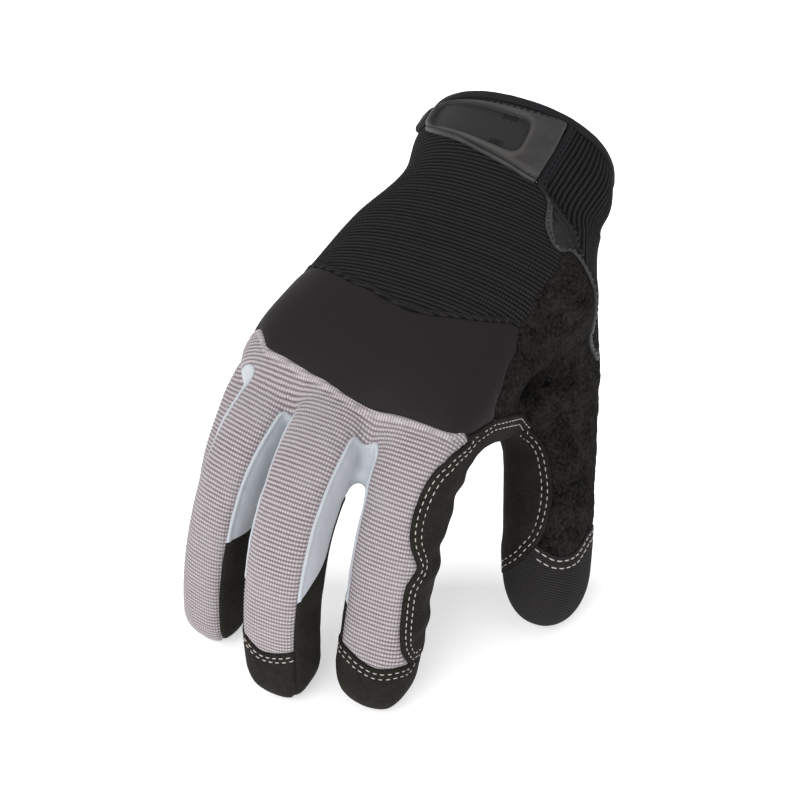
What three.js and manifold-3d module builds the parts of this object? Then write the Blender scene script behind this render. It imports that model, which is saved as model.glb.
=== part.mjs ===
import * as THREE from "three";
import Module from "manifold-3d";

const wasm = await Module();
wasm.setup();

// Sizes of a men's large glove, in millimetres
const PALM_LENGTH = 154;
const PALM_BREADTH = 99;
const PALM_DEPTH = 41.5;
const WRIST_BREADTH = 73.5;
const WRIST_DEPTH = 48.5;
const WALL = 2;
const GAP = 0.3;
const FACET_SLACK = 0.12;
const STRAP_THICKNESS = 2.4;
const TAB_THICKNESS = 1.6;
const RECESS_DEPTH = 0.8;
const CUFF_RUN_OUT = 8;
const CUT_CLEARANCE = 0.4;

// How the hand is held, in degrees
const HAND = { pitch: 6.5, roll: 0, yaw: -27 };

// How finely the cloth is faceted
const OUTER_FACETS = { sides: 12, rings: 8, tip: 3, palmSides: 20, palmRings: 9 };
const INNER_FACETS = { sides: 8, rings: 5, tip: 1, palmSides: 12, palmRings: 9 };
const SEAM_STEP = 0.13;
const SEAM_REACHES = [0.32, 0.62, 1];

// The palm from the cuff to the crotches. Along is a share of the palm length. Mix goes
// from the wrist's size to the palm's size, and ulnar, radial, back and front are shares
// of that breadth or depth. Bend is the slope in degrees, and skew slants the little
// finger's side back.
const PALM = [
  { along: 0.0, mix: 0.0, ulnar: 0.5, radial: 0.5, back: 0.5, front: 0.5, power: 2.2, bend: 0, skew: 0 },
  { along: 0.1, mix: 0.0, ulnar: 0.5, radial: 0.585, back: 0.48, front: 0.48, power: 2.2, bend: 4, skew: 0 },
  { along: 0.22, mix: 0.2, ulnar: 0.42, radial: 0.545, back: 0.48, front: 0.5, power: 2.2, bend: 9, skew: 0 },
  { along: 0.4, mix: 0.5, ulnar: 0.468, radial: 0.655, back: 0.5, front: 0.52, power: 2.3, bend: 4, skew: 0 },
  { along: 0.6, mix: 0.8, ulnar: 0.461, radial: 0.522, back: 0.5, front: 0.52, power: 2.4, bend: 2, skew: 0 },
  { along: 0.78, mix: 1.0, ulnar: 0.468, radial: 0.479, back: 0.5, front: 0.46, power: 2.5, bend: 9, skew: 0.05 },
  { along: 0.9, mix: 1.0, ulnar: 0.474, radial: 0.42, back: 0.43, front: 0.38, power: 2.5, bend: 30, skew: 0.15 },
  { along: 1.0, mix: 1.0, ulnar: 0.4, radial: 0.28, back: 0.22, front: 0.24, power: 2.4, bend: 42, skew: 0.25 },
];

// The digits. Across, along and up are shares of the palm's breadth, length and depth.
const DIGITS = {
  index: {
    length: 113.5, breadth: 28.3, depth: 27.7, across: 0.299, along: 0.818, up: 0.045,
    pitch: -2, roll: 0, splay: -1.5, section: "finger",
    bends: [{ at: 0, turn: 6 }, { at: 0.2, turn: 45 }, { at: 0.5, turn: 66 }, { at: 0.8, turn: 67 }, { at: 1, turn: 80 }],
  },
  middle: {
    length: 124.5, breadth: 25.7, depth: 25.7, across: -0.016, along: 0.846, up: 0.091,
    pitch: -2, roll: 0, splay: -1, section: "finger",
    bends: [{ at: 0, turn: 5 }, { at: 0.2, turn: 20 }, { at: 0.5, turn: 63 }, { at: 0.8, turn: 87 }, { at: 1, turn: 87 }],
  },
  ring: {
    length: 119, breadth: 22.4, depth: 25.2, across: -0.246, along: 0.795, up: 0.005,
    pitch: -2.5, roll: 1, splay: -10.5, section: "finger",
    bends: [{ at: 0, turn: 7 }, { at: 0.2, turn: 28 }, { at: 0.5, turn: 65 }, { at: 0.8, turn: 80 }, { at: 1, turn: 92 }],
  },
  little: {
    length: 101, breadth: 22.8, depth: 23.7, across: -0.383, along: 0.717, up: -0.29,
    pitch: -0.5, roll: -1, splay: -12.5, section: "finger",
    bends: [{ at: 0, turn: 9 }, { at: 0.2, turn: 36 }, { at: 0.5, turn: 64 }, { at: 0.8, turn: 78 }, { at: 1, turn: 88 }],
  },
  thumb: {
    length: 131.5, breadth: 33.8, depth: 30.8, across: 0.274, along: 0.288, up: -0.173,
    pitch: 39, roll: 59.5, splay: 33, section: "thumb",
    bends: [{ at: 0, turn: 0 }, { at: 0.3, turn: 6 }, { at: 0.6, turn: 9 }, { at: 0.85, turn: 10 }, { at: 1, turn: 20 }],
  },
};

// Fullness along a digit, as shares of its breadth and depth
const SECTIONS = {
  finger: [
    { at: 0, wide: 0.98, deep: 0.98 },
    { at: 0.15, wide: 1.04, deep: 1.0 },
    { at: 0.26, wide: 1.04, deep: 1.0 },
    { at: 0.34, wide: 0.99, deep: 0.98 },
    { at: 0.5, wide: 0.98, deep: 0.97 },
    { at: 0.7, wide: 0.96, deep: 0.94 },
    { at: 0.85, wide: 0.94, deep: 0.88 },
    { at: 1, wide: 0.92, deep: 0.84 },
  ],
  thumb: [
    { at: 0, wide: 1.0, deep: 1.05 },
    { at: 0.25, wide: 1.08, deep: 1.1 },
    { at: 0.45, wide: 1.0, deep: 1.02 },
    { at: 0.6, wide: 0.96, deep: 0.96 },
    { at: 0.75, wide: 0.98, deep: 0.94 },
    { at: 0.88, wide: 0.94, deep: 0.88 },
    { at: 1, wide: 0.9, deep: 0.8 },
  ],
};
const DIGIT_POWER = 2.9;
const TIP_SHARE = 0.62;
const TIP_POWER = 2.3;
const TIP_FLAT = 0.25;

// A smooth curve through one column of a table
function curve(table, from, key) {
  const xs = table.map((row) => row[from]);
  const ys = table.map((row) => row[key]);
  const slopes = xs.map((x, i) => {
    const a = Math.max(0, i - 1);
    const b = Math.min(xs.length - 1, i + 1);
    return (ys[b] - ys[a]) / (xs[b] - xs[a]);
  });
  return (x) => {
    if (x <= xs[0]) {
      return ys[0];
    }
    if (x >= xs[xs.length - 1]) {
      return ys[ys.length - 1];
    }
    const i = xs.findIndex((v, k) => x >= v && x < xs[k + 1]);
    const h = xs[i + 1] - xs[i];
    const t = (x - xs[i]) / h;
    const keep = (1 + 2 * t) * (1 - t) ** 2 * ys[i] + t * (1 - t) ** 2 * h * slopes[i];
    const next = t * t * (3 - 2 * t) * ys[i + 1] + t * t * (t - 1) * h * slopes[i + 1];
    return keep + next;
  };
}

// Straight lines through one column of a table
function steps(table, from, key) {
  return (x) => {
    const last = table.length - 1;
    if (x <= table[0][from]) {
      return table[0][key];
    }
    if (x >= table[last][from]) {
      return table[last][key];
    }
    const i = table.findIndex((row, k) => x >= row[from] && x < table[k + 1][from]);
    const t = (x - table[i][from]) / (table[i + 1][from] - table[i][from]);
    return table[i][key] * (1 - t) + table[i + 1][key] * t;
  };
}

const degrees = THREE.MathUtils.degToRad;

// Tilt, roll and side lean of a part of the hand, the side lean last
function attitude(pitch, roll, yaw) {
  const turn = new THREE.Euler(degrees(pitch), degrees(roll), degrees(yaw), "ZXY");
  return new THREE.Matrix4().makeRotationFromEuler(turn);
}

// A centre line that slopes down as it goes, with the directions at each place on it
function spine(slope, length, facing, start) {
  const count = 80;
  const points = [start.clone()];
  for (let i = 0; i < count; i += 1) {
    const angle = degrees((slope(i / count) + slope((i + 1) / count)) / 2);
    const step = new THREE.Vector3(0, -Math.cos(angle), -Math.sin(angle));
    step.applyMatrix4(facing).multiplyScalar(length / count);
    points.push(points[i].clone().add(step));
  }
  return (share) => {
    const held = Math.min(1, Math.max(0, share));
    const i = Math.min(count - 1, Math.floor(held * count));
    const centre = points[i].clone().lerp(points[i + 1], held * count - i);
    const angle = degrees(slope(held));
    const ahead = new THREE.Vector3(0, -Math.cos(angle), -Math.sin(angle)).applyMatrix4(facing);
    const back = new THREE.Vector3(0, -Math.sin(angle), Math.cos(angle)).applyMatrix4(facing);
    const side = new THREE.Vector3(1, 0, 0).applyMatrix4(facing);
    centre.addScaledVector(ahead, (share - held) * length);
    return { centre, ahead, back, side };
  };
}

const palmSlope = curve(PALM, "along", "bend");
const palmSpine = spine(palmSlope, PALM_LENGTH, new THREE.Matrix4(), new THREE.Vector3());
const palmColumn = {};
for (const key of ["mix", "ulnar", "radial", "back", "front", "power", "skew"]) {
  palmColumn[key] = curve(PALM, "along", key);
}

const digitSpine = {};
for (const [name, digit] of Object.entries(DIGITS)) {
  const { centre, back, side } = palmSpine(digit.along);
  centre.addScaledVector(side, digit.across * PALM_BREADTH);
  centre.addScaledVector(back, digit.up * PALM_DEPTH);
  const facing = attitude(digit.pitch, digit.roll, digit.splay);
  digitSpine[name] = spine(steps(digit.bends, "at", "turn"), digit.length, facing, centre);
}

// Closed solid through a list of rings with the same number of points
function solidOf(rings) {
  const count = rings[0].length;
  const places = rings.flat();
  const triangles = [];
  const ends = [rings[0], rings[rings.length - 1]].map((ring) => {
    const middle = new THREE.Vector3();
    ring.forEach((p) => middle.addScaledVector(p, 1 / count));
    places.push(middle);
    return places.length - 1;
  });
  for (let i = 0; i < rings.length - 1; i += 1) {
    for (let j = 0; j < count; j += 1) {
      const a = i * count + j;
      const b = i * count + ((j + 1) % count);
      triangles.push([a, b, b + count], [a, b + count, a + count]);
    }
  }
  const top = (rings.length - 1) * count;
  for (let j = 0; j < count; j += 1) {
    const k = (j + 1) % count;
    triangles.push([ends[0], k, j], [ends[1], top + j, top + k]);
  }
  const vertProperties = new Float32Array(places.flatMap((p) => [p.x, p.y, p.z]));
  const triVerts = new Uint32Array(triangles.flat());
  const mesh = new wasm.Mesh({ numProp: 3, vertProperties, triVerts });
  mesh.merge();
  let solid = new wasm.Manifold(mesh);
  if (solid.volume() < 0) {
    const flipped = new Uint32Array(triangles.flatMap(([a, b, c]) => [a, c, b]));
    solid = new wasm.Manifold(new wasm.Mesh({ numProp: 3, vertProperties, triVerts: flipped }));
  }
  return solid;
}

function rounded(value, power) {
  return Math.sign(value) * Math.abs(value) ** (2 / power);
}

// The palm's form, let out or taken in all round
function palmSolid(extra, cuff = 0, facets = OUTER_FACETS) {
  const shares = [];
  const sides = facets.palmSides;
  for (let i = 0; i <= facets.palmRings; i += 1) {
    shares.push((i / facets.palmRings) * 0.97);
  }
  shares[0] = -cuff / PALM_LENGTH;
  shares.push(1 + Math.min(0, extra / PALM_LENGTH));
  const rings = shares.map((share) => {
    const { centre, ahead, back, side } = palmSpine(share);
    const mix = palmColumn.mix(share);
    const breadth = WRIST_BREADTH * (1 - mix) + PALM_BREADTH * mix;
    const depth = WRIST_DEPTH * (1 - mix) + PALM_DEPTH * mix;
    const ring = [];
    for (let j = 0; j < sides; j += 1) {
      const turn = (j / sides) * 2 * Math.PI;
      let x = rounded(Math.sin(turn), palmColumn.power(share));
      let z = rounded(Math.cos(turn), palmColumn.power(share));
      const wide = x > 0 ? palmColumn.radial(share) : palmColumn.ulnar(share);
      const deep = z > 0 ? palmColumn.back(share) : palmColumn.front(share);
      x *= wide * breadth + extra;
      z *= deep * depth + extra;
      const place = centre.clone().addScaledVector(side, x).addScaledVector(back, z);
      ring.push(place.addScaledVector(ahead, palmColumn.skew(share) * Math.min(0, x)));
    }
    return ring;
  });
  return solidOf(rings);
}

// A digit's form, let out or taken in all round
function digitSolid(name, extra, facets = OUTER_FACETS) {
  const digit = DIGITS[name];
  const wide = curve(SECTIONS[digit.section], "at", "wide");
  const deep = curve(SECTIONS[digit.section], "at", "deep");
  const tip = (TIP_SHARE * digit.breadth) / digit.length;
  const end = 1 + extra / digit.length;
  const shares = [];
  for (let i = 0; i < facets.rings; i += 1) {
    shares.push({ share: (i / facets.rings) * (end - tip), scale: 1 });
  }
  for (let i = 0; i <= facets.tip; i += 1) {
    const out = Math.sin((i / facets.tip) * (Math.PI / 2));
    const scale = Math.max(TIP_FLAT, (1 - out ** TIP_POWER) ** (1 / TIP_POWER));
    shares.push({ share: end - tip + tip * out, scale });
  }
  const rings = shares.map(({ share, scale }) => {
    const { centre, back, side } = digitSpine[name](share);
    const ring = [];
    for (let j = 0; j < facets.sides; j += 1) {
      const turn = (j / facets.sides) * 2 * Math.PI;
      const x = rounded(Math.sin(turn), DIGIT_POWER) * ((digit.breadth / 2) * wide(share) + extra);
      const z = rounded(Math.cos(turn), DIGIT_POWER) * ((digit.depth / 2) * deep(share) + extra);
      ring.push(centre.clone().addScaledVector(side, x * scale).addScaledVector(back, z * scale));
    }
    return ring;
  });
  return solidOf(rings);
}

const NAMES = Object.keys(DIGITS);
function form(extra, cuff, facets) {
  return NAMES.map((name) => digitSolid(name, extra, facets))
    .reduce((a, b) => a.add(b), palmSolid(extra, cuff, facets));
}

const outside = form(0, 0, OUTER_FACETS);
const inside = form(-WALL, CUFF_RUN_OUT, INNER_FACETS);
const shell = outside.subtract(inside);

// A slice of a tube between two angles from the back of it, along its length. Each row
// of the table gives the two angles in degrees at one share of the length.
function slice(at, length, rows, grow, reach) {
  const from = steps(rows, "at", "from");
  const to = steps(rows, "at", "to");
  const shares = [];
  for (let i = 0; i < rows.length - 1; i += 1) {
    const parts = Math.ceil((rows[i + 1].at - rows[i].at) / SEAM_STEP);
    for (let k = 0; k < parts; k += 1) {
      shares.push(rows[i].at + ((rows[i + 1].at - rows[i].at) * k) / parts);
    }
  }
  shares.push(rows[rows.length - 1].at);
  if (grow > 0) {
    shares.unshift(shares[0] - grow / length);
    shares.push(shares[shares.length - 1] + grow / length);
  }
  const rings = shares.map((share) => {
    const { centre, back, side } = at(share);
    const a = degrees(from(share));
    const b = degrees(to(share));
    const half = (b - a) / 2;
    const middle = (a + b) / 2;
    const place = (turn, out, off) => centre
      .clone()
      .addScaledVector(side, Math.sin(turn) * out + Math.cos(turn) * off)
      .addScaledVector(back, Math.cos(turn) * out - Math.sin(turn) * off);
    const ring = [place(middle, -grow / Math.sin(half), 0)];
    SEAM_REACHES.forEach((out) => ring.push(place(a, reach * out, -grow)));
    for (let j = 1; j < 6; j += 1) {
      ring.push(place(a + ((b - a) * j) / 6, reach, 0));
    }
    [...SEAM_REACHES].reverse().forEach((out) => ring.push(place(b, reach * out, grow)));
    return ring;
  });
  return solidOf(rings);
}

// Part of one digit, kept off its neighbours
function digitSlice(name, rows, grow) {
  const reach = DIGITS[name].breadth * 1.1;
  return slice(digitSpine[name], DIGITS[name].length, rows, grow, reach)
    .intersect(digitSolid(name, CUT_CLEARANCE + grow));
}

// All of a digit past one place on it
function digitEnd(name, share, grow) {
  const { length, breadth } = DIGITS[name];
  const rings = [share - grow / length, 1.2].map((at) => {
    const { centre, back, side } = digitSpine[name](at);
    const ring = [];
    for (let j = 0; j < 8; j += 1) {
      const turn = (j / 8) * 2 * Math.PI;
      const place = centre.clone().addScaledVector(side, Math.sin(turn) * breadth * 1.1);
      ring.push(place.addScaledVector(back, Math.cos(turn) * breadth * 1.1));
    }
    return ring;
  });
  return solidOf(rings).intersect(digitSolid(name, CUT_CLEARANCE + grow));
}

function palmSlice(rows, grow) {
  return slice(palmSpine, PALM_LENGTH, rows, grow, PALM_BREADTH * 0.9);
}

// Upright block between two seams that run across the back of the hand. Each seam is a
// table of places, across and along the palm.
function between(near, far, low, high, grow) {
  const nearAt = steps(near, "across", "along");
  const farAt = steps(far, "across", "along");
  const rings = [];
  const marks = [...new Set([...near, ...far].map((row) => row.across))].sort((a, b) => a - b);
  marks.forEach((across, i) => {
    let x = across * PALM_BREADTH;
    x += i === 0 ? -grow : 0;
    x += i === marks.length - 1 ? grow : 0;
    const start = -nearAt(across) * PALM_LENGTH + grow;
    const stop = -farAt(across) * PALM_LENGTH - grow;
    rings.push([
      new THREE.Vector3(x, start, low - grow),
      new THREE.Vector3(x, stop, low - grow),
      new THREE.Vector3(x, stop, high),
      new THREE.Vector3(x, start, high),
    ]);
  });
  return solidOf(rings);
}

// Seams across the back, as shares of the palm's breadth and length
const SEAM_END = 0.9;
const CUFF_EDGE = [{ across: -SEAM_END, along: 0.03 }, { across: SEAM_END, along: 0.03 }];
const BACK_SEAM = [
  { across: -SEAM_END, along: 0.6 },
  { across: -0.36, along: 0.612 },
  { across: -0.24, along: 0.641 },
  { across: -0.09, along: 0.677 },
  { across: 0.04, along: 0.693 },
  { across: 0.18, along: 0.68 },
  { across: 0.3, along: 0.644 },
  { across: 0.4, along: 0.6 },
  { across: SEAM_END, along: 0.58 },
];
const KNUCKLE_SEAM = [
  { across: -SEAM_END, along: 0.78 },
  { across: -0.44, along: 0.813 },
  { across: -0.35, along: 0.872 },
  { across: -0.18, along: 0.91 },
  { across: -0.09, along: 0.928 },
  { across: 0.02, along: 0.938 },
  { across: 0.3, along: 0.936 },
  { across: 0.39, along: 0.932 },
  { across: 0.44, along: 0.9 },
  { across: SEAM_END, along: 0.88 },
];
const FINGER_LINE = [{ across: -SEAM_END, along: 1.02 }, { across: SEAM_END, along: 1.02 }];

// Sides of the back panels, in degrees round the palm from the middle of the back
const BACK_SIDES = [
  { at: -0.1, from: -96, to: 46 },
  { at: 0.2, from: -96, to: 48 },
  { at: 0.33, from: -96, to: 62 },
  { at: 0.39, from: -96, to: 67 },
  { at: 0.54, from: -96, to: 68 },
  { at: 0.62, from: -97, to: 72 },
  { at: 0.73, from: -98, to: 80 },
  { at: 0.8, from: -100, to: 86 },
  { at: 1.1, from: -100, to: 86 },
];
const KNIT_SIDES = [
  { at: 0.7, from: -92, to: 66 },
  { at: 1.1, from: -88, to: 66 },
];

// Edges of the knit on the fingers
const FINGER_KNIT = {
  index: [
    { at: 0.02, from: -46, to: 66 },
    { at: 0.1, from: -46, to: 66 },
    { at: 0.16, from: -47, to: 49 },
    { at: 0.21, from: -48, to: 37 },
    { at: 0.27, from: -48, to: 32 },
    { at: 0.34, from: -48, to: 31 },
    { at: 0.4, from: -48, to: 37 },
    { at: 0.46, from: -48, to: 52 },
    { at: 0.52, from: -47, to: 43 },
    { at: 0.6, from: -46, to: 43 },
    { at: 0.74, from: -46, to: 53 },
    { at: 0.805, from: -46, to: 70 },
  ],
  middle: [{ at: 0.02, from: -55, to: 50 }, { at: 0.765, from: -50, to: 48 }],
  ring: [{ at: 0.02, from: -50, to: 42 }, { at: 0.4, from: -52, to: 38 }, { at: 0.93, from: -52, to: 48 }],
  little: [{ at: 0.02, from: -70, to: 45 }, { at: 0.93, from: -56, to: 45 }],
};

const cuts = {};
cuts.finger_back_knit = (grow) => {
  const palm = between(KNUCKLE_SEAM, FINGER_LINE, -0.3 * PALM_DEPTH, PALM_DEPTH, grow);
  const back = palm.intersect(palmSlice(KNIT_SIDES, grow)).intersect(palmSolid(CUT_CLEARANCE + grow, 0));
  const fingers = Object.entries(FINGER_KNIT).map(([name, rows]) => digitSlice(name, rows, grow));
  const past = between(KNUCKLE_SEAM, [{ across: -SEAM_END, along: 2 }, { across: SEAM_END, along: 2 }],
    -4 * PALM_DEPTH, PALM_DEPTH, grow);
  return fingers.reduce((a, b) => a.add(b)).intersect(past).add(back);
};
cuts.knuckle_band = (grow) => between(BACK_SEAM, KNUCKLE_SEAM, -0.5 * PALM_DEPTH, PALM_DEPTH, grow)
  .intersect(palmSlice(BACK_SIDES, grow));
cuts.hand_back_knit = (grow) => between(CUFF_EDGE, BACK_SEAM, -0.5 * PALM_DEPTH, PALM_DEPTH, grow)
  .intersect(palmSlice(BACK_SIDES, grow));
const RIM = [{ across: -SEAM_END, along: -0.1 }, { across: SEAM_END, along: -0.1 }];
const RIM_EDGE = RIM.map(({ across }) => ({ across, along: 0.026 }));
cuts.wrist_binding = (grow) => between(RIM, RIM_EDGE, -PALM_DEPTH, PALM_DEPTH, grow);

// Gusset of ribbed elastic at the cuff, and the folded edge below it
const GUSSET = [
  { at: 0.03, from: 46, to: 116 },
  { at: 0.2, from: 48, to: 116 },
  { at: 0.31, from: 62, to: 112 },
  { at: 0.4, from: 76, to: 104 },
];
cuts.cuff_gusset_knit = (grow) => palmSlice(GUSSET, grow);
const SLIT = [
  { at: 0.29, from: 58, to: 116 },
  { at: 0.38, from: 68, to: 110 },
  { at: 0.425, from: 75, to: 106 },
];
cuts.slit_binding = (grow) => palmSlice(SLIT, grow);

cuts.thumb_tip_cap = (grow) => digitEnd("thumb", 0.81, grow);
cuts.index_tip_cap = (grow) => digitEnd("index", 0.81, grow);
cuts.middle_tip_cap = (grow) => digitEnd("middle", 0.77, grow);
cuts.thumb_saddle_patch = (grow) => digitSlice("thumb", [
  { at: 0.4, from: -170, to: -106 },
  { at: 0.44, from: -170, to: -100 },
  { at: 0.49, from: -170, to: -81 },
  { at: 0.54, from: -170, to: -71 },
  { at: 0.62, from: -170, to: -65 },
  { at: 0.68, from: -170, to: -68 },
  { at: 0.74, from: -170, to: -74 },
  { at: 0.81, from: -170, to: -92 },
], grow);
cuts.index_side_panel = (grow) => digitSlice("index", [
  { at: 0.06, from: 20, to: 112 },
  { at: 0.805, from: 20, to: 112 },
], grow);

// Side walls between the fingers, and the web that joins each pair
const WALLS = {
  fourchette_index_middle: {
    left: { name: "middle", rows: [{ at: 0.12, from: 40, to: 118 }, { at: 0.52, from: 40, to: 118 },
      { at: 0.61, from: 40, to: 54 }] },
    right: { name: "index", rows: [{ at: 0.14, from: -118, to: -40 }, { at: 0.55, from: -118, to: -40 },
      { at: 0.63, from: -56, to: -40 }] },
    web: { from: 0.02, to: 0.22, along: 0.94 },
  },
  fourchette_middle_ring: {
    left: { name: "ring", rows: [{ at: 0.12, from: 34, to: 118 }, { at: 0.5, from: 34, to: 118 },
      { at: 0.58, from: 34, to: 50 }] },
    right: { name: "middle", rows: [{ at: 0.1, from: -118, to: -44 }, { at: 0.5, from: -118, to: -44 },
      { at: 0.58, from: -60, to: -44 }] },
    web: { from: -0.26, to: -0.12, along: 0.93 },
  },
  fourchette_ring_little: {
    left: { name: "little", rows: [{ at: 0.12, from: 36, to: 118 }, { at: 0.46, from: 36, to: 118 },
      { at: 0.55, from: 36, to: 52 }] },
    right: { name: "ring", rows: [{ at: 0.08, from: -118, to: -46 }, { at: 0.44, from: -118, to: -46 },
      { at: 0.53, from: -62, to: -46 }] },
    web: { from: -0.41, to: -0.3, along: 0.84 },
  },
};
for (const [piece, wall] of Object.entries(WALLS)) {
  cuts[piece] = (grow) => {
    const edge = [{ across: wall.web.from, along: wall.web.along }, { across: wall.web.to, along: wall.web.along }];
    const past = edge.map(({ across }) => ({ across, along: wall.web.along + 0.25 }));
    const web = between(edge, past, -0.95 * PALM_DEPTH, 0, grow);
    return web
      .add(digitSlice(wall.left.name, wall.left.rows, grow))
      .add(digitSlice(wall.right.name, wall.right.rows, grow));
  };
}
const THUMB_BACK = [
  { at: 0.04, from: -80, to: 100 },
  { at: 0.35, from: -120, to: 105 },
  { at: 0.5, from: -120, to: 100 },
  { at: 0.81, from: -120, to: 100 },
];
cuts.thumb_back_terry = (grow) => digitSlice("thumb", THUMB_BACK, grow)
  .add(palmSlice([{ at: 0.3, from: 50, to: 112 }, { at: 0.6, from: 50, to: 108 }, { at: 0.9, from: 60, to: 100 }], grow));

// Each piece is cut from the shell in turn, with a sewing gap to those cut before it
const ORDER = [
  "wrist_binding",
  "cuff_gusset_knit",
  "slit_binding",
  "index_tip_cap",
  "middle_tip_cap",
  "thumb_tip_cap",
  "finger_back_knit",
  "knuckle_band",
  "hand_back_knit",
  "fourchette_index_middle",
  "fourchette_middle_ring",
  "fourchette_ring_little",
  "index_side_panel",
  "thumb_saddle_patch",
  "thumb_back_terry",
];

// The largest whole piece, without the slivers beside a seam
function whole(solid, slack = FACET_SLACK) {
  const parts = solid.simplify(slack).decompose();
  parts.sort((a, b) => b.volume() - a.volume());
  return parts[0];
}

const pieces = {};
let rest = shell;
for (const name of ORDER) {
  pieces[name] = whole(rest.intersect(cuts[name](0)));
  rest = rest.subtract(cuts[name](GAP));
}
pieces.palm_leather = whole(rest);

// Closure strap moulded in rubber, with a shallow recess, over the back of the cuff
const STRAP_SIDES = [{ at: 0, from: -62, to: 44 }, { at: 0.25, from: -62, to: 47 }];
const STRAP_TOP = [{ across: -0.4, along: 0.045 }, { across: 0.4, along: 0.03 }];
const STRAP_FOOT = [
  { across: -0.4, along: 0.125 },
  { across: -0.3, along: 0.14 },
  { across: -0.2, along: 0.168 },
  { across: -0.06, along: 0.185 },
  { across: 0.08, along: 0.206 },
  { across: 0.4, along: 0.212 },
];
const RECESS = [
  { at: 0.07, from: -34, to: 30 },
  { at: 0.15, from: -30, to: 32 },
];
const TAB = [
  { at: 0.045, from: -84, to: -63.5 },
  { at: 0.115, from: -84, to: -63.5 },
];
function layer(low, high) {
  return palmSolid(high, 0).subtract(palmSolid(low, 4));
}
const strap = layer(GAP, GAP + STRAP_THICKNESS)
  .intersect(palmSlice(STRAP_SIDES, 0))
  .intersect(between(STRAP_TOP, STRAP_FOOT, 0, PALM_DEPTH, 0));
const hollow = layer(GAP + STRAP_THICKNESS - RECESS_DEPTH, GAP + STRAP_THICKNESS + 2).intersect(palmSlice(RECESS, 0));
pieces.closure_strap = whole(strap.subtract(hollow), FACET_SLACK / 2);
const tab = layer(GAP, GAP + TAB_THICKNESS).intersect(palmSlice(TAB, 0));
pieces.strap_tab = whole(tab, FACET_SLACK / 2);

const COLOURS = {
  palm_leather: 0x2a2725,
  finger_back_knit: 0xa7a09f,
  knuckle_band: 0x232224,
  hand_back_knit: 0x1d1d1f,
  wrist_binding: 0x26262a,
  cuff_gusset_knit: 0x202022,
  slit_binding: 0x303036,
  index_tip_cap: 0x2d2a28,
  middle_tip_cap: 0x2d2a28,
  thumb_tip_cap: 0x222224,
  fourchette_index_middle: 0xafb9c3,
  fourchette_middle_ring: 0xafb9c3,
  fourchette_ring_little: 0xafb9c3,
  index_side_panel: 0x2b2826,
  thumb_saddle_patch: 0x2b2826,
  thumb_back_terry: 0x1a1a1b,
  closure_strap: 0x3c3c3e,
  strap_tab: 0x1c1c1e,
};

const glove = new THREE.Group();
glove.name = "anti_vibration_glove";
const pose = attitude(HAND.pitch, HAND.roll, HAND.yaw);
for (const [name, solid] of Object.entries(pieces)) {
  const { numProp, vertProperties, triVerts } = solid.getMesh();
  const positions = new Float32Array((vertProperties.length / numProp) * 3);
  for (let i = 0; i < positions.length / 3; i += 1) {
    for (let k = 0; k < 3; k += 1) {
      positions[i * 3 + k] = vertProperties[i * numProp + k];
    }
  }
  const geometry = new THREE.BufferGeometry();
  geometry.setAttribute("position", new THREE.BufferAttribute(positions, 3));
  geometry.setIndex(new THREE.BufferAttribute(new Uint32Array(triVerts), 1));
  geometry.applyMatrix4(pose);
  geometry.computeVertexNormals();
  const material = new THREE.MeshStandardMaterial({ color: COLOURS[name], roughness: 0.9 });
  const mesh = new THREE.Mesh(geometry, material);
  mesh.name = name;
  glove.add(mesh);
}

export default glove;
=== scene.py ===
import math

import bpy
import numpy as np
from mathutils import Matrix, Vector
from mathutils.kdtree import KDTree


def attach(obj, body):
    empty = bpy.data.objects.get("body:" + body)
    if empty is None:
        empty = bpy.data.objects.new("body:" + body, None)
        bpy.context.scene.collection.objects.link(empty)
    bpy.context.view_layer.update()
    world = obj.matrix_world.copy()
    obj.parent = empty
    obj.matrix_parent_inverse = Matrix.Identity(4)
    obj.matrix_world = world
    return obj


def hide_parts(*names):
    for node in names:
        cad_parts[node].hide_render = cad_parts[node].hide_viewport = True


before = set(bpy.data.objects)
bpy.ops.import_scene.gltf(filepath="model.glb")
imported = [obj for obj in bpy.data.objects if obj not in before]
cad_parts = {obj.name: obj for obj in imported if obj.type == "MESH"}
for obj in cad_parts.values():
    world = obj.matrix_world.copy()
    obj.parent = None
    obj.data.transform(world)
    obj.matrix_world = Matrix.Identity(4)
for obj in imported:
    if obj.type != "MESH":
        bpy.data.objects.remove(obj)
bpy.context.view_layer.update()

# The former. The sewn glove is pulled over a heated former with bent fingers and keeps its
# shape, so every panel below is cut from cloth that lies on this form. The palm and each
# digit are one tube, in millimetres: the palm runs along -Y, with the thumb's side at +X.
PALM_LENGTH = 154
PALM_BREADTH = 99
PALM_DEPTH = 41.5
WRIST_BREADTH = 73.5
WRIST_DEPTH = 48.5
CUFF_RUN_OUT = 0.05
PALM_END = 0.955
DIGIT_POWER = 2.9
FOLD_POWER = 2.2
TIP_SHARE = 0.62
TIP_POWER = 2.3
VOXEL = 1.2
CLOTH_EASE = 5
FORMER_SIDES = 56
CUFF_MOUTH = 0.003
CUFF_REACH = 25
CRUMB = 50


def table(names, *rows):
    """A table with named columns"""
    return dict(zip(names.split(), np.array(rows, float).T))


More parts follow.
